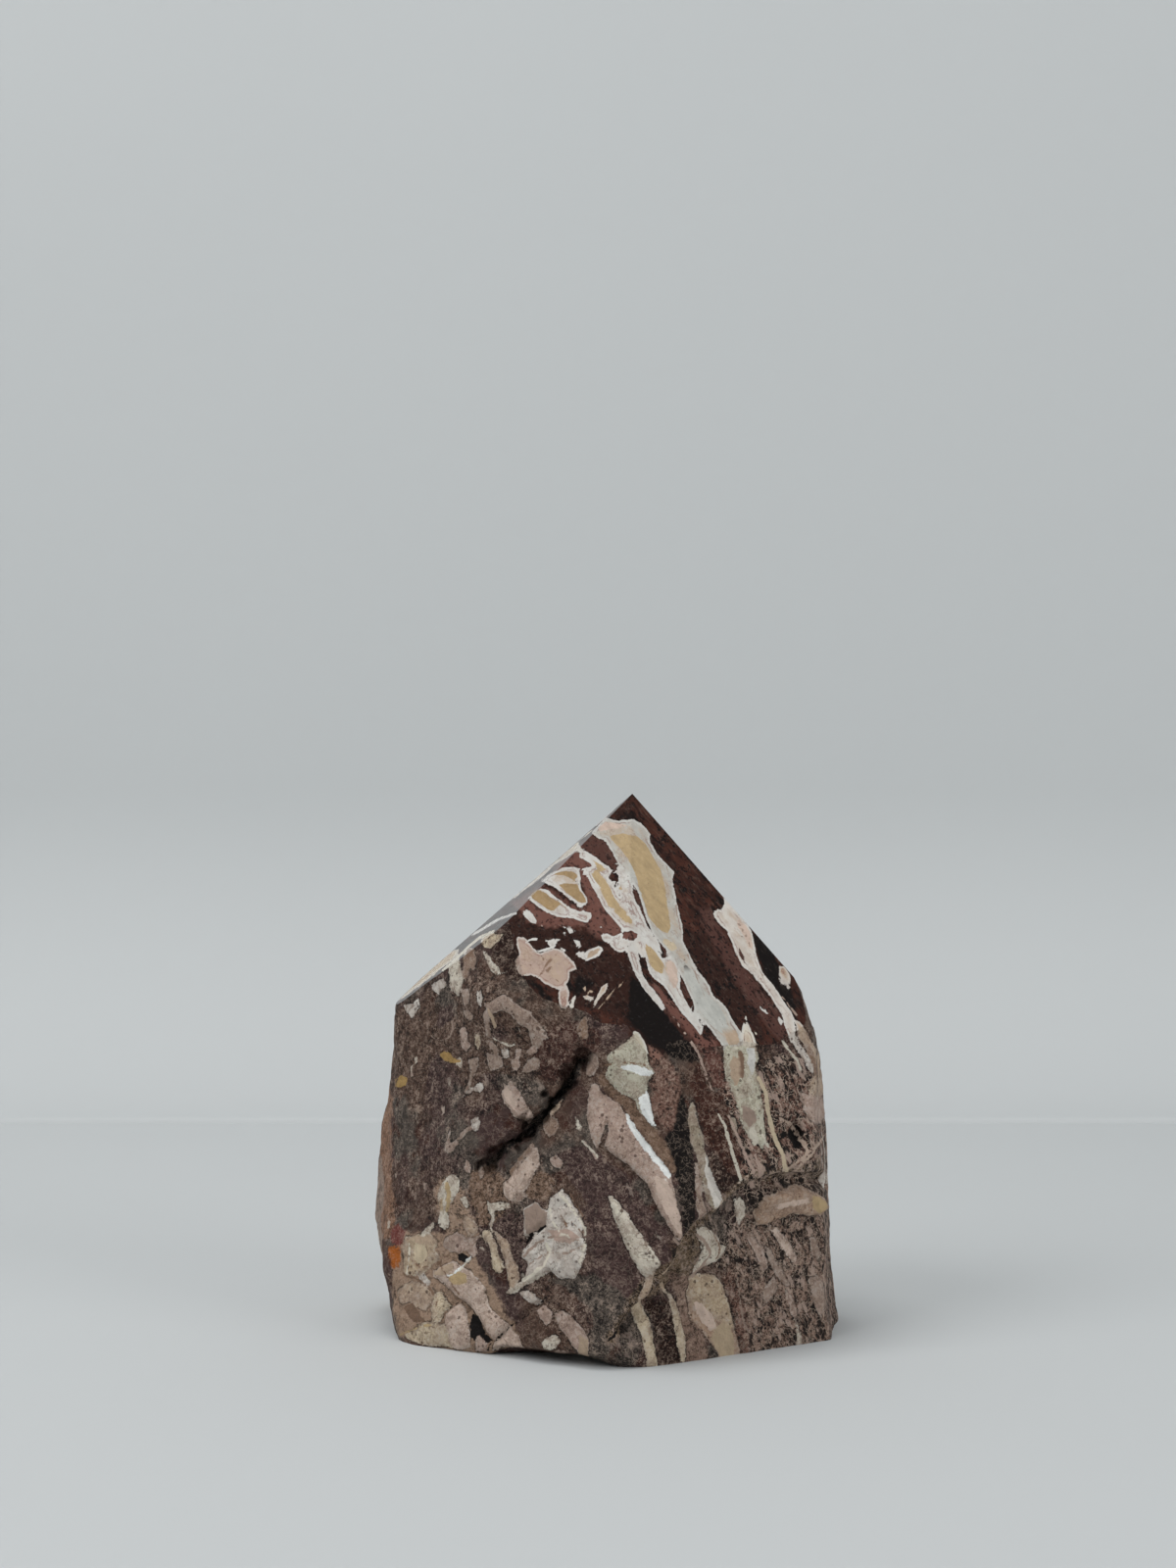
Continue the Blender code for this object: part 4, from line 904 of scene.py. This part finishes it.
def shards(clasts, cores, places, normals, far):
    """Broken clasts all round the rest of the stone: flat-sided slivers along the flow, some with a core."""
    draw = np.random.default_rng(SHARD_SEED)
    spots = np.flatnonzero(far > 0.2)
    flow, across = np.array(FLOW), np.array(ACROSS)
    for _ in range(SHARD_COUNT):
        spot = spots[draw.integers(len(spots))]
        centre, out = places[spot], normals[spot]
        lean = draw.normal(0.0, SHARD_LEAN)
        long_way = flow + lean * across + draw.normal(0.0, SHARD_LEAN_Y) * np.array((0.0, 1.0, 0.0))
        long_way -= out * (long_way @ out)
        if np.linalg.norm(long_way) < 0.3:
            long_way = np.cross(out, across)
        long_way /= np.linalg.norm(long_way)
        wide_way = np.cross(out, long_way)
        length = draw.lognormal(SHARD_LENGTH, SHARD_LENGTH_SPREAD)
        width = length * draw.uniform(*SHARD_WIDTH)
        tint = SHARD_TINTS[draw.integers(len(SHARD_TINTS))]
        turns = np.sort(draw.uniform(0.0, 2 * math.pi, SHARD_SIDES))
        cored = draw.uniform() < SHARDS_CORED
        near = np.flatnonzero(np.max(np.abs(places - centre), axis=1) < length + 1.5)
        gap = places[near] - centre
        u, v, w = gap @ long_way / length, gap @ wide_way / width, gap @ out
        bent = v + math.copysign(SHARD_BEND, lean) * u * u
        inside = 1.0 - np.hypot(u, bent)
        for turn in turns:
            reach = SHARD_REACH + SHARD_REACH_VARIES * math.cos(3.1 * turn + lean)
            inside = np.minimum(inside, reach - (u * math.cos(turn) + bent * math.sin(turn)))
        inside = np.minimum(inside * width, width - np.abs(w)) - TURNED_AWAY * (1.0 - far[near])
        clasts.add(near, inside, tint)
        if cored:
            core_tint = "tan" if tint in ("white", "chalk") else "buff"
            cores.add(near, inside - CORE_SHARE * width - CORE_MORE, core_tint)


def marked(places, normals, pixels, front):
    """The layers of markings, and how grainy the ground is, at each point of the stone."""
    names = ("ground", "clast", "core", "vein")
    ground, clasts, cores, veins = layers = [Layer(len(places)) for _ in names]
    grain = np.ones(len(places))

    def as_seen(near, inside):
        """Pixels inside a marking in millimetres; it ends where the face turns away from the camera."""
        return near, inside * MM_PER_PX - TURNED_AWAY * (1.0 - front[near])

    for tint, rough, outline in GROUND.values():
        grain[ground.add(*as_seen(*within(pixels, outline, NEAR_GROUND)), tint)] = rough
    warped = places + 2.5 * np.stack([noisy(places, 6.0, (k, 4, 7)) for k in range(3)], axis=1)
    for tint, rough, centre, sizes in STAINS:
        inside = (1.0 - np.linalg.norm((warped - centre) / np.array(sizes), axis=1)) * min(sizes)
        grain[ground.add(np.arange(len(places)), inside, tint)] = rough
    far = 1.0 - front
    bands_through(clasts, places, far)
    shards(clasts, cores, places, normals, far)
    for layer, shapes in ((clasts, CLASTS), (cores, CORES)):
        for tint, outline in shapes.values():
            layer.add(*as_seen(*within(pixels, outline, NEAR_OUTLINE)), tint)
    for tint, wide, line in VEINS.values():
        near, off, _ = beside(pixels, line, NEAR_OUTLINE)
        veins.add(*as_seen(near, wide / 2 - np.abs(off)), tint)
    return dict(zip(names, layers)), grain


def relief(places, pixels, front, clast_edges):
    """How far each point stands out along its normal, in millimetres: torn rock, clasts and creases."""
    cells = np.array([noise.voronoi(Vector(p) / CHIP_SIZE + Vector((3.0, 8.0, 6.0)))[0][:2] for p in places])
    chips = np.minimum(cells[:, 1] - cells[:, 0], CHIP_LIMIT) - CHIP_LIMIT / 2
    lift = (waves(places, TORN_WAVES) + CHIPS * chips) * (1.0 - 0.55 * ease(clast_edges / 0.5 + 0.5))
    for name, height in RELIEF.items():
        near, inside = within(pixels, CLASTS[name][1], NEAR_OUTLINE)
        lift[near] += height * front[near] * ease(inside * MM_PER_PX / RELIEF_SOFT + 0.25)
    folds = np.abs(noisy(places * (1.0, 1.0, 0.55), CREASE_SIZE, (5, 5, 5))) * 2.2 - 0.6
    for name, deep in CREASED.items():
        near, inside = within(pixels, CLASTS[name][1], NEAR_OUTLINE)
        lift[near] += deep * front[near] * ease(inside * MM_PER_PX / RELIEF_SOFT) * folds[near]
    lift += FAR_RELIEF * ease(clast_edges / 0.4 + 0.4) * ease(1.0 - front)
    for deep, half, line in CREASES.values():
        near, off, past = beside(pixels, line, NEAR_GROUND)
        lift[near] -= deep * front[near] * (1.0 - ease(np.hypot(off, past) / half))
    return lift


def narrow_cleft(metres, places, pixels, front, fixed):
    """Fills the solid's wide cleft and cuts a ragged crack in its place."""
    level = np.stack([places[:, 0], -places[:, 2]], axis=1)
    near, off, _ = beside(level, [(x, -z) for x, z in CLEFT], CLEFT_ABOVE)
    high, low = CLEFT[0][1] + CLEFT_PAST_END, CLEFT[-1][0] - CLEFT_PAST_END
    ends = ease((high - places[near, 2]) / CLEFT_RUN_IN) * ease((places[near, 0] - low) / CLEFT_RUN_IN)
    roll = CLEFT_DEPTH * np.clip(1.0 - np.abs(off) / CLEFT_ABOVE, 0.0, 1.0) ** 1.6
    wall = (CLEFT_DEPTH - CLEFT_SHELF) * (1.0 - ease(np.abs(off) / CLEFT_BELOW))
    fill = np.where(off > 0, roll, wall) * ends * (places[near, 1] < CLEFT_FRONT)
    metres[near, 1] -= CLEFT_FILLED * fill * MM * ~fixed[near]
    near, off, past = beside(pixels, CRACK, NEAR_CRACK)
    off = off + waves(places[near], CRACK_WANDERS)
    half = CRACK_HALF * (1.0 + noisy(places[near], 2.6, (3, 3, 9))) * ease(1.1 - past / CRACK_RUN_OUT)
    crack = CRACK_DEPTH * (1.0 - ease(np.hypot(off, past * 0.5) / np.maximum(half, 0.5))) * front[near]
    metres[near, 1] += crack * MM * ~fixed[near]


def chip_foot(metres):
    """Lifts the front lower edge where it is chipped, so that a gap shows under it."""
    x, y, z = (metres / MM).T
    chip = ease((x - CHIP_START) / CHIP_START_SOFT) * ease((CHIP_END - x) / CHIP_END_SOFT)
    chip *= ease(1.0 - z / CHIP_HIGH) * ease((CHIP_BEHIND - y) / CHIP_BEHIND_SOFT)
    metres[:, 2] = np.maximum(metres[:, 2] + CHIP_LIFT * chip * MM, 0.0)


def stone_mesh():
    """The stone's fine mesh, with its relief, and its markings as attributes of the points."""
    bm, kind = fine_stone()
    mesh = bpy.data.meshes.new("zebra_jasper_stone")
    for f in bm.faces:
        f.material_index = 1 if 0 < f[kind] < BASE else 0
        f.smooth = f[kind] == 0
    for e in bm.edges:
        if len({f[kind] for f in e.link_faces}) > 1:
            e.smooth = False
    fixed = np.array([any(f[kind] for f in v.link_faces) for v in bm.verts])
    bm.faces.layers.int.remove(kind)
    bm.to_mesh(mesh)
    bm.free()

    metres = np.array([v.co for v in mesh.vertices], float)
    normals = np.array([v.normal for v in mesh.vertices])
    toward = np.array(CAMERA_AT) - metres
    toward /= np.linalg.norm(toward, axis=1)[:, None]
    front = ease(((normals * toward).sum(1) - SEEN_FROM) / SEEN_OVER)
    places, pixels = metres / MM, photo_place(metres)
    layers, grain = marked(places, normals, pixels, front)
    lift = relief(places, pixels, front, layers["clast"].edges) * ~fixed
    metres += normals * (lift * MM)[:, None]
    narrow_cleft(metres, places, pixels, front, fixed)
    chip_foot(metres)
    mesh.vertices.foreach_set("co", metres.ravel())
    mesh.update()

    numbers = {name + "_edge": layer.edges for name, layer in layers.items()}
    for name, values in {**numbers, "grain": grain}.items():
        mesh.attributes.new(name, "FLOAT", "POINT").data.foreach_set("value", values)
    for name, layer in layers.items():
        full = np.concatenate([layer.tints, np.ones((len(places), 1))], axis=1)
        mesh.attributes.new(name + "_tint", "FLOAT_COLOR", "POINT").data.foreach_set("color", full.ravel())
    return mesh


def colour_of(colour):
    """A palette name, or a name and a strength, as a socket's value; a socket or value stays as it is."""
    name, strength = colour if isinstance(colour, tuple) else (colour, 1.0)
    if not isinstance(name, str):
        return colour
    return [c * strength for c in screen_to_linear(PALETTE[name])] + [1.0]


class Shader:
    """Short ways to put nodes into one material."""

    def __init__(self, name):
        self.material = bpy.data.materials.new(name)
        self.material.use_nodes = True
        self.tree = self.material.node_tree
        self.tree.nodes.clear()

    def node(self, kind, sockets=(), **settings):
        made = self.tree.nodes.new("ShaderNode" + kind)
        for name, value in settings.items():
            setattr(made, name, value)
        for key, value in dict(sockets).items():
            if isinstance(value, bpy.types.NodeSocket):
                self.tree.links.new(value, made.inputs[key])
            else:
                made.inputs[key].default_value = value
        return made

    def maths(self, operation, a, b=0.0):
        return self.node("Math", {0: a, 1: b}, operation=operation).outputs[0]

    def times(self, first, *others):
        for other in others:
            first = self.maths("MULTIPLY", first, other)
        return first

    def inverse(self, value):
        return self.maths("SUBTRACT", 1.0, value)

    def vector(self, operation, a, b=(0, 0, 0), scale=1.0):
        sockets = {0: a, "Scale": scale} if operation == "SCALE" else {0: a, 1: b}
        made = self.node("VectorMath", sockets, operation=operation)
        return made.outputs["Value" if operation == "DOT_PRODUCT" else "Vector"]

    def noise(self, place, size, detail=2.0, roughness=0.5, distortion=0.0):
        return self.node("TexNoise", {"Vector": place, "Scale": 1.0 / size, "Detail": detail,
                                      "Roughness": roughness, "Distortion": distortion}).outputs[0]

    def cells(self, place, size):
        return self.node("TexVoronoi", {"Vector": place, "Scale": 1.0 / size}).outputs["Distance"]

    def spread(self, value, low, high, to_low=0.0, to_high=1.0):
        """A soft step from one value to another as the input goes from low to high."""
        return self.node("MapRange", {0: value, 1: low, 2: high, 3: to_low, 4: to_high},
                         interpolation_type="SMOOTHSTEP").outputs[0]

    def clouds(self, place, size, detail, roughness, low, high, to_low=0.0, to_high=1.0):
        """Noise as soft-edged patches."""
        return self.spread(self.noise(place, size, detail, roughness), low, high, to_low, to_high)

    def line(self, value, middle, low, high):
        """1 where the value is at its middle, 0 away from it: a thin line."""
        away = self.maths("ABSOLUTE", self.maths("SUBTRACT", value, middle))
        return self.inverse(self.spread(away, low, high))

    def mix(self, share, a, b):
        return self.node("Mix", {0: share, 6: colour_of(a), 7: colour_of(b)}, data_type="RGBA",
                         clamp_factor=True).outputs[2]

    def attribute(self, name, output="Fac"):
        return self.node("Attribute", attribute_name=name).outputs[output]

    def finished(self, sockets):
        """The material, with a principled surface that has these sockets."""
        self.node("OutputMaterial", {"Surface": self.node("BsdfPrincipled", sockets).outputs[0]})
        return self.material


class Jasper(Shader):
    """The stone's material, for its polished facets or for its broken faces. Sizes are in millimetres."""

    def __init__(self, name, polished):
        super().__init__(name)
        self.polished, self.finish = polished, FINISH["polished" if polished else "broken"]
        self.place = self.vector("SCALE", self.node("TexCoord").outputs["Object"], scale=1.0 / MM)
        along = self.times(self.vector("DOT_PRODUCT", self.place, FLOW), DRAWN_OUT)
        across = self.vector("DOT_PRODUCT", self.place, ACROSS)
        depth = self.vector("DOT_PRODUCT", self.place, (0.0, 1.0, 0.0))
        self.drawn = self.node("CombineXYZ", {0: across, 1: depth, 2: along}).outputs[0]
        coarse = self.noise(self.drawn if polished else self.place, 1.6, 5.0, 0.65)
        fine = self.noise(self.place, 0.34)
        self.ragged = self.maths(
            "ADD", self.times(self.maths("SUBTRACT", coarse, 0.5), self.finish["ragged"]),
            self.times(self.maths("SUBTRACT", fine, 0.5), self.finish["ragged fine"]))
        self.grain = self.attribute("grain")
        self.speckle = self.maths("MINIMUM", self.grain, 1.0)

    def edge(self, name, raggedness):
        return self.maths("ADD", self.attribute(name), self.times(self.ragged, raggedness))

    def elsewhere(self, at):
        return self.vector("ADD", self.place, at)

    def hairs(self, size, wide, at):
        """Thin lines that wander like hairs."""
        return self.line(self.noise(self.elsewhere(at), size, 3.0, 0.55), 0.5, wide * 0.3, wide)

    def dots(self, cell, cloud, low, high, to_high=1.0):
        """Small round dots in loose crowds."""
        crowded = self.maths("ADD", self.cells(self.place, cell), self.noise(self.place, cloud, 3.0))
        return self.spread(crowded, low, high, 0.0, to_high)

    def polished_rock(self):
        """Colour of the glassy dark rock, and its pale and dark flecks."""
        colour = self.mix(self.clouds(self.drawn, 3.2, 4.0, 0.6, 0.36, 0.54), "glass",
                          "dark maroon")
        colour = self.mix(self.clouds(self.drawn, 2.2, 5.0, 0.7, 0.42, 0.62), colour, "maroon")
        pale = self.clouds(self.drawn, 0.62, 3.0, 0.7, 0.50, 0.70, 0.0, 0.35)
        dark = self.maths("MAXIMUM", self.inverse(self.dots(0.72, 1.9, 0.68, 0.78)),
                          self.clouds(self.drawn, 0.9, 3.0, 0.7, 0.47, 0.36))
        return colour, pale, dark

    def broken_rock(self):
        """Colour of the torn brown rock, and its pale and dark flecks."""
        colour = self.mix(self.clouds(self.place, 14.0, 3.0, 0.5, 0.40, 0.58), "warm matrix",
                          "purple matrix")
        colour = self.mix(self.clouds(self.place, 9.0, 3.0, 0.5, 0.50, 0.62), colour, "grey matrix")
        colour = self.mix(self.clouds(self.elsewhere((9, 4, 2)), 4.0, 4.0, 0.6, 0.54, 0.70), colour,
                          "maroon")
        drift = self.maths("SUBTRACT", self.noise(self.elsewhere((1, 7, 5)), 2.2, 4.0, 0.65), 0.5)
        strokes = self.maths("ADD", self.noise(self.place, 0.62, 4.0, 0.75, 0.9), self.times(drift, 0.55))
        return colour, self.spread(strokes, 0.53, 0.63), self.spread(strokes, 0.50, 0.40)

    def with_crumbs(self, colour):
        """Crumbs of pale rock, drawn out along the flow."""
        warp = self.node("TexNoise", {"Vector": self.place, "Scale": 1.1}).outputs["Color"]
        where = self.vector("ADD", self.drawn, self.vector("SCALE", warp, scale=0.9))
        crumbs = self.node("TexVoronoi", {"Vector": where, "Scale": 1.0 / 2.1}, distance="MANHATTAN")
        chance, size, hue = self.node("SeparateColor", {0: crumbs.outputs["Color"]}).outputs
        reach = self.maths("SUBTRACT", self.spread(size, 0.0, 1.0, 0.14, 0.42), crumbs.outputs["Distance"])
        share = self.times(self.spread(reach, 0.0, 0.07), self.spread(chance, 0.70, 0.74),
                           self.clouds(self.elsewhere((4, 4, 4)), 7.0, 2.0, 0.5, 0.44, 0.56),
                           self.spread(self.speckle, 0.5, 0.8), 0.85)
        return self.mix(share, colour, self.mix(hue, "rose", "ivory"))

    def with_net(self, colour):
        """Holes, dark runs, pores, lights and a net of hairs, stronger where the ground is grainy."""
        for share, full_grain, over in (
                (self.clouds(self.elsewhere((6, 2, 2)), 1.3, 3.0, 0.6, 0.45, 0.38), 2.0, "shade"),
                (self.clouds(self.drawn, 1.3, 5.0, 0.7, 0.52, 0.43, 0.0, 0.95), 1.6, ("shade", 1.6)),
                (self.dots(0.95, 2.6, 0.78, 0.66, 0.95), 1.5, "shade"),
                (self.clouds(self.vector("ADD", self.drawn, (4, 4, 1)), 1.6, 5.0, 0.7, 0.54, 0.61, 0.0, 0.9),
                 1.6, "rose")):
            colour = self.mix(self.times(share, self.spread(self.grain, 1.0, full_grain)), colour, over)
        net = self.maths("MAXIMUM", self.hairs(2.6, 0.016, (5, 1, 3)), self.hairs(3.8, 0.010, (1, 8, 2)))
        return self.mix(self.times(net, self.spread(self.grain, 1.0, 2.0, 0.20, 0.80)), colour, "fleck")

    def clast_body(self, clast, cracks, pale, dark):
        """Colour of the clasts: stained and cracked, with a pale rim; veined if polished, else worn."""
        body = self.attribute("clast_tint", "Color")
        body = self.mix(self.clouds(self.place, 3.0, 4.0, 0.6, 0.35, 0.65, 0.0, self.finish["stain"]), body,
                        "dusky pink")
        body = self.mix(self.clouds(self.drawn, 1.1, 4.0, 0.65, 0.50, 0.75, 0.0, 0.30), body, "buff")
        if self.polished:
            heart = self.times(self.spread(clast, 0.45, 1.10),
                               self.clouds(self.drawn, 2.0, 5.0, 0.65, 0.42, 0.60, 0.0, 0.60))
            body = self.mix(heart, body, "buff")
            seam = self.times(self.line(clast, 0.50, 0.03, 0.13),
                              self.clouds(self.drawn, 1.8, 3.0, 0.5, 0.46, 0.58, 0.0, 0.6))
            body = self.mix(seam, body, ("mauve", 1.5))
        # A pale rim just inside each clast's edge: on the polished facets the bands' own white rims, on the
        # broken faces a faint painted highlight along the clasts' edges.
        rim = self.times(self.inverse(self.spread(clast, 0.10, 0.45)), self.finish["rim"])
        body = self.mix(rim, body, "white")
        body = self.mix(cracks, body, ("brown", 0.6))
        if self.polished:
            streak = self.times(self.line(self.noise(self.drawn, 1.5, 4.0, 0.6), 0.5, 0.004, 0.028),
                                self.clouds(self.place, 3.4, 3.0, 0.5, 0.44, 0.60), 0.35)
            body = self.mix(streak, body, ("mauve", 1.3))
            pins = self.times(self.inverse(self.spread(self.cells(self.place, 1.15), 0.07, 0.13)),
                              self.clouds(self.place, 3.0, 2.0, 0.5, 0.48, 0.60), 0.75)
            return self.mix(pins, body, "shade")
        body = self.mix(self.times(pale, 0.22), body, "white")
        body = self.mix(self.times(dark, 0.34), body, "maroon")
        body = self.mix(self.dots(1.2, 3.0, 0.70, 0.60, 0.7), body, ("maroon", 0.6))
        worn = self.times(self.inverse(self.spread(clast, 0.05, 0.75)),
                          self.clouds(self.place, 1.3, 4.0, 0.7, 0.46, 0.60, 0.0, 0.6))
        return self.mix(worn, body, ("brown", 0.8))

    def core_body(self):
        """Colour of the cores: streaks of darker and lighter, and a few brown pins."""
        tint = self.attribute("core_tint", "Color")
        body = self.mix(self.clouds(self.drawn, 1.1, 4.0, 0.6, 0.35, 0.70, 0.0, 0.8), tint,
                        self.vector("SCALE", tint, scale=0.74))
        body = self.mix(self.clouds(self.drawn, 0.40, 3.0, 0.6, 0.55, 0.75, 0.0, 0.5), body,
                        self.vector("SCALE", tint, scale=1.15))
        pins = self.inverse(self.spread(self.cells(self.place, 0.9), 0.07, 0.14))
        return self.mix(self.times(pins, 0.6), body, ("brown", 0.6))

    def made(self):
        """The whole material, from the ground up to the veins."""
        colour, pale, dark = self.polished_rock() if self.polished else self.broken_rock()
        ground = self.spread(self.edge("ground_edge", 1.6), -0.35, 0.35)
        colour = self.mix(ground, colour, self.attribute("ground_tint", "Color"))
        patches = self.clouds(self.elsewhere((3, 3, 8)), 5.0, 3.0, 0.5, 0.36, 0.62, 0.45, 1.0)
        colour = self.mix(self.times(pale, patches, self.speckle, self.finish["pale flecks"]), colour,
                          "fleck")
        colour = self.mix(self.times(dark, self.speckle, self.finish["dark flecks"]), colour,
                          ("glass", 0.6) if self.polished else "shade")
        if not self.polished:
            colour = self.with_net(self.with_crumbs(colour))

        clast = self.edge("clast_edge", 0.75)
        # A dark band just outside each clast: on the broken faces partly their brown edges and partly
        # painted shade in the crevice where a raised clast meets the rock; on the polished facets a dark
        # maroon edge.
        patchy = self.clouds(self.elsewhere((2, 6, 6)), 2.4, 3.0, 0.5, 0.42, 0.60)
        outline = self.times(self.spread(clast, -0.32, -0.05), patchy, self.finish["outline"])
        colour = self.mix(outline, colour, "dark maroon" if self.polished else ("shade", 1.4))
        cracks = self.times(self.hairs(5.5, 0.009, (2, 2, 7)), self.finish["crack"])
        mask = self.spread(clast, -0.05, 0.05)
        colour = self.mix(mask, colour, self.clast_body(clast, cracks, pale, dark))
        colour = self.mix(self.spread(self.edge("core_edge", 0.7), -0.07, 0.07), colour, self.core_body())
        veins = self.spread(self.edge("vein_edge", 0.45), -0.05, 0.06)
        colour = self.mix(veins, colour, self.attribute("vein_tint", "Color"))

        if self.polished:
            haze = self.clouds(self.place, 0.7, 3.0, 0.5, 0.3, 0.7, 0.10, 0.20)
            roughness = self.maths("ADD", haze, self.times(self.maths("MAXIMUM", mask, veins), 0.10))
            height = self.maths("ADD", self.clouds(self.place, 0.45, 2.0, 0.5, 0.24, 0.36, 0.0, 0.030),
                                self.times(self.noise(self.place, 5.0), 0.05))
        else:
            roughness = self.spread(pale, 0.0, 1.0, 0.86, 0.70)
            height = self.times(self.noise(self.place, 0.9, 5.0, 0.68),
                                self.spread(mask, 0.0, 1.0, 0.95, 0.45))
            height = self.maths("ADD", height, self.times(mask, 0.08))
            height = self.maths("SUBTRACT", height, self.times(cracks, 0.04))
        bump = self.node("Bump", {"Height": height, "Strength": 1.0, "Distance": MM})
        return self.finished({"Base Color": colour, "Roughness": roughness, "IOR": self.finish["index"],
                              "Specular IOR Level": SPECULAR, "Normal": bump.outputs[0]})


def paper():
    """The backdrop's matt material, with a trace of unevenness."""
    s = Shader("backdrop_paper")
    trace = s.clouds(s.node("TexCoord").outputs["Object"], 0.35, 3.0, 0.5, 0.3, 0.7)
    shade = s.mix(trace, [c * 0.985 for c in SWEEP_COLOUR] + [1.0], [*SWEEP_COLOUR, 1.0])
    return s.finished({"Base Color": shade, "Roughness": 0.9})


def sweep():
    """Floor and walls in one sheet with a cove between; the wall behind is close, as in the photograph."""
    corners = ((WALL_SIDE - CORNER, WALL_BACK - CORNER, 0), (CORNER - WALL_SIDE, WALL_BACK - CORNER, 1),
               (CORNER - WALL_SIDE, CORNER - WALL_FRONT, 2), (WALL_SIDE - CORNER, CORNER - WALL_FRONT, 3))
    outline = []
    for x, y, quarter in corners:
        for i in range(CORNER_STEPS + 1):
            a = math.pi / 2 * (quarter + i / CORNER_STEPS)
            outline.append((x, y, math.cos(a), math.sin(a)))
    rows = [(CORNER - COVE * (1.0 - math.sin(a)), COVE * (1.0 - math.cos(a)))
            for a in (math.pi / 2 * i / COVE_STEPS for i in range(COVE_STEPS + 1))]
    rows.append((CORNER, WALL_HIGH))
    bm = bmesh.new()
    rings = [[bm.verts.new((x + out * c, y + out * s, z)) for x, y, c, s in outline] for out, z in rows]
    bm.faces.new(rings[0])
    for low, high in zip(rings, rings[1:]):
        for i in range(len(outline)):
            j = (i + 1) % len(outline)
            bm.faces.new((low[i], low[j], high[j], high[i])).smooth = True
    mesh = bpy.data.meshes.new("backdrop")
    bm.to_mesh(mesh)
    bm.free()
    mesh.materials.append(paper())
    shown("backdrop", mesh)


def shown(name, data, at=(0.0, 0.0, 0.0), turned=(0.0, 0.0, 0.0)):
    """A new object in the scene."""
    made = bpy.data.objects.new(name, data)
    made.location, made.rotation_euler = at, turned
    bpy.context.collection.objects.link(made)
    return made


def lighting():
    """Square softboxes and an even room."""
    for name, (at, aim, size, watts) in LIGHTS.items():
        lamp = bpy.data.lights.new(name, "AREA")
        lamp.size, lamp.energy = size, watts
        shown(name, lamp, at, (Vector(aim) - Vector(at)).to_track_quat("-Z", "Y").to_euler())
    world = bpy.data.worlds.new("room")
    world.use_nodes = True
    background = world.node_tree.nodes["Background"]
    background.inputs["Color"].default_value = ROOM_COLOUR
    background.inputs["Strength"].default_value = ROOM_LIGHT
    bpy.context.scene.world = world


def camera():
    lens = bpy.data.cameras.new("camera")
    lens.lens, lens.sensor_width = LENS, SENSOR
    bpy.context.scene.camera = shown("camera", lens, CAMERA_AT, (math.radians(90.0), 0.0, 0.0))


camera()
sweep()
lighting()
stone = shown("zebra_jasper_stone", stone_mesh())
stone.data.materials.append(Jasper("jasper_broken", polished=False).made())
stone.data.materials.append(Jasper("jasper_polished", polished=True).made())
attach(stone, "root")
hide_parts(NODE)
bpy.context.scene.view_settings.view_transform = "Standard"
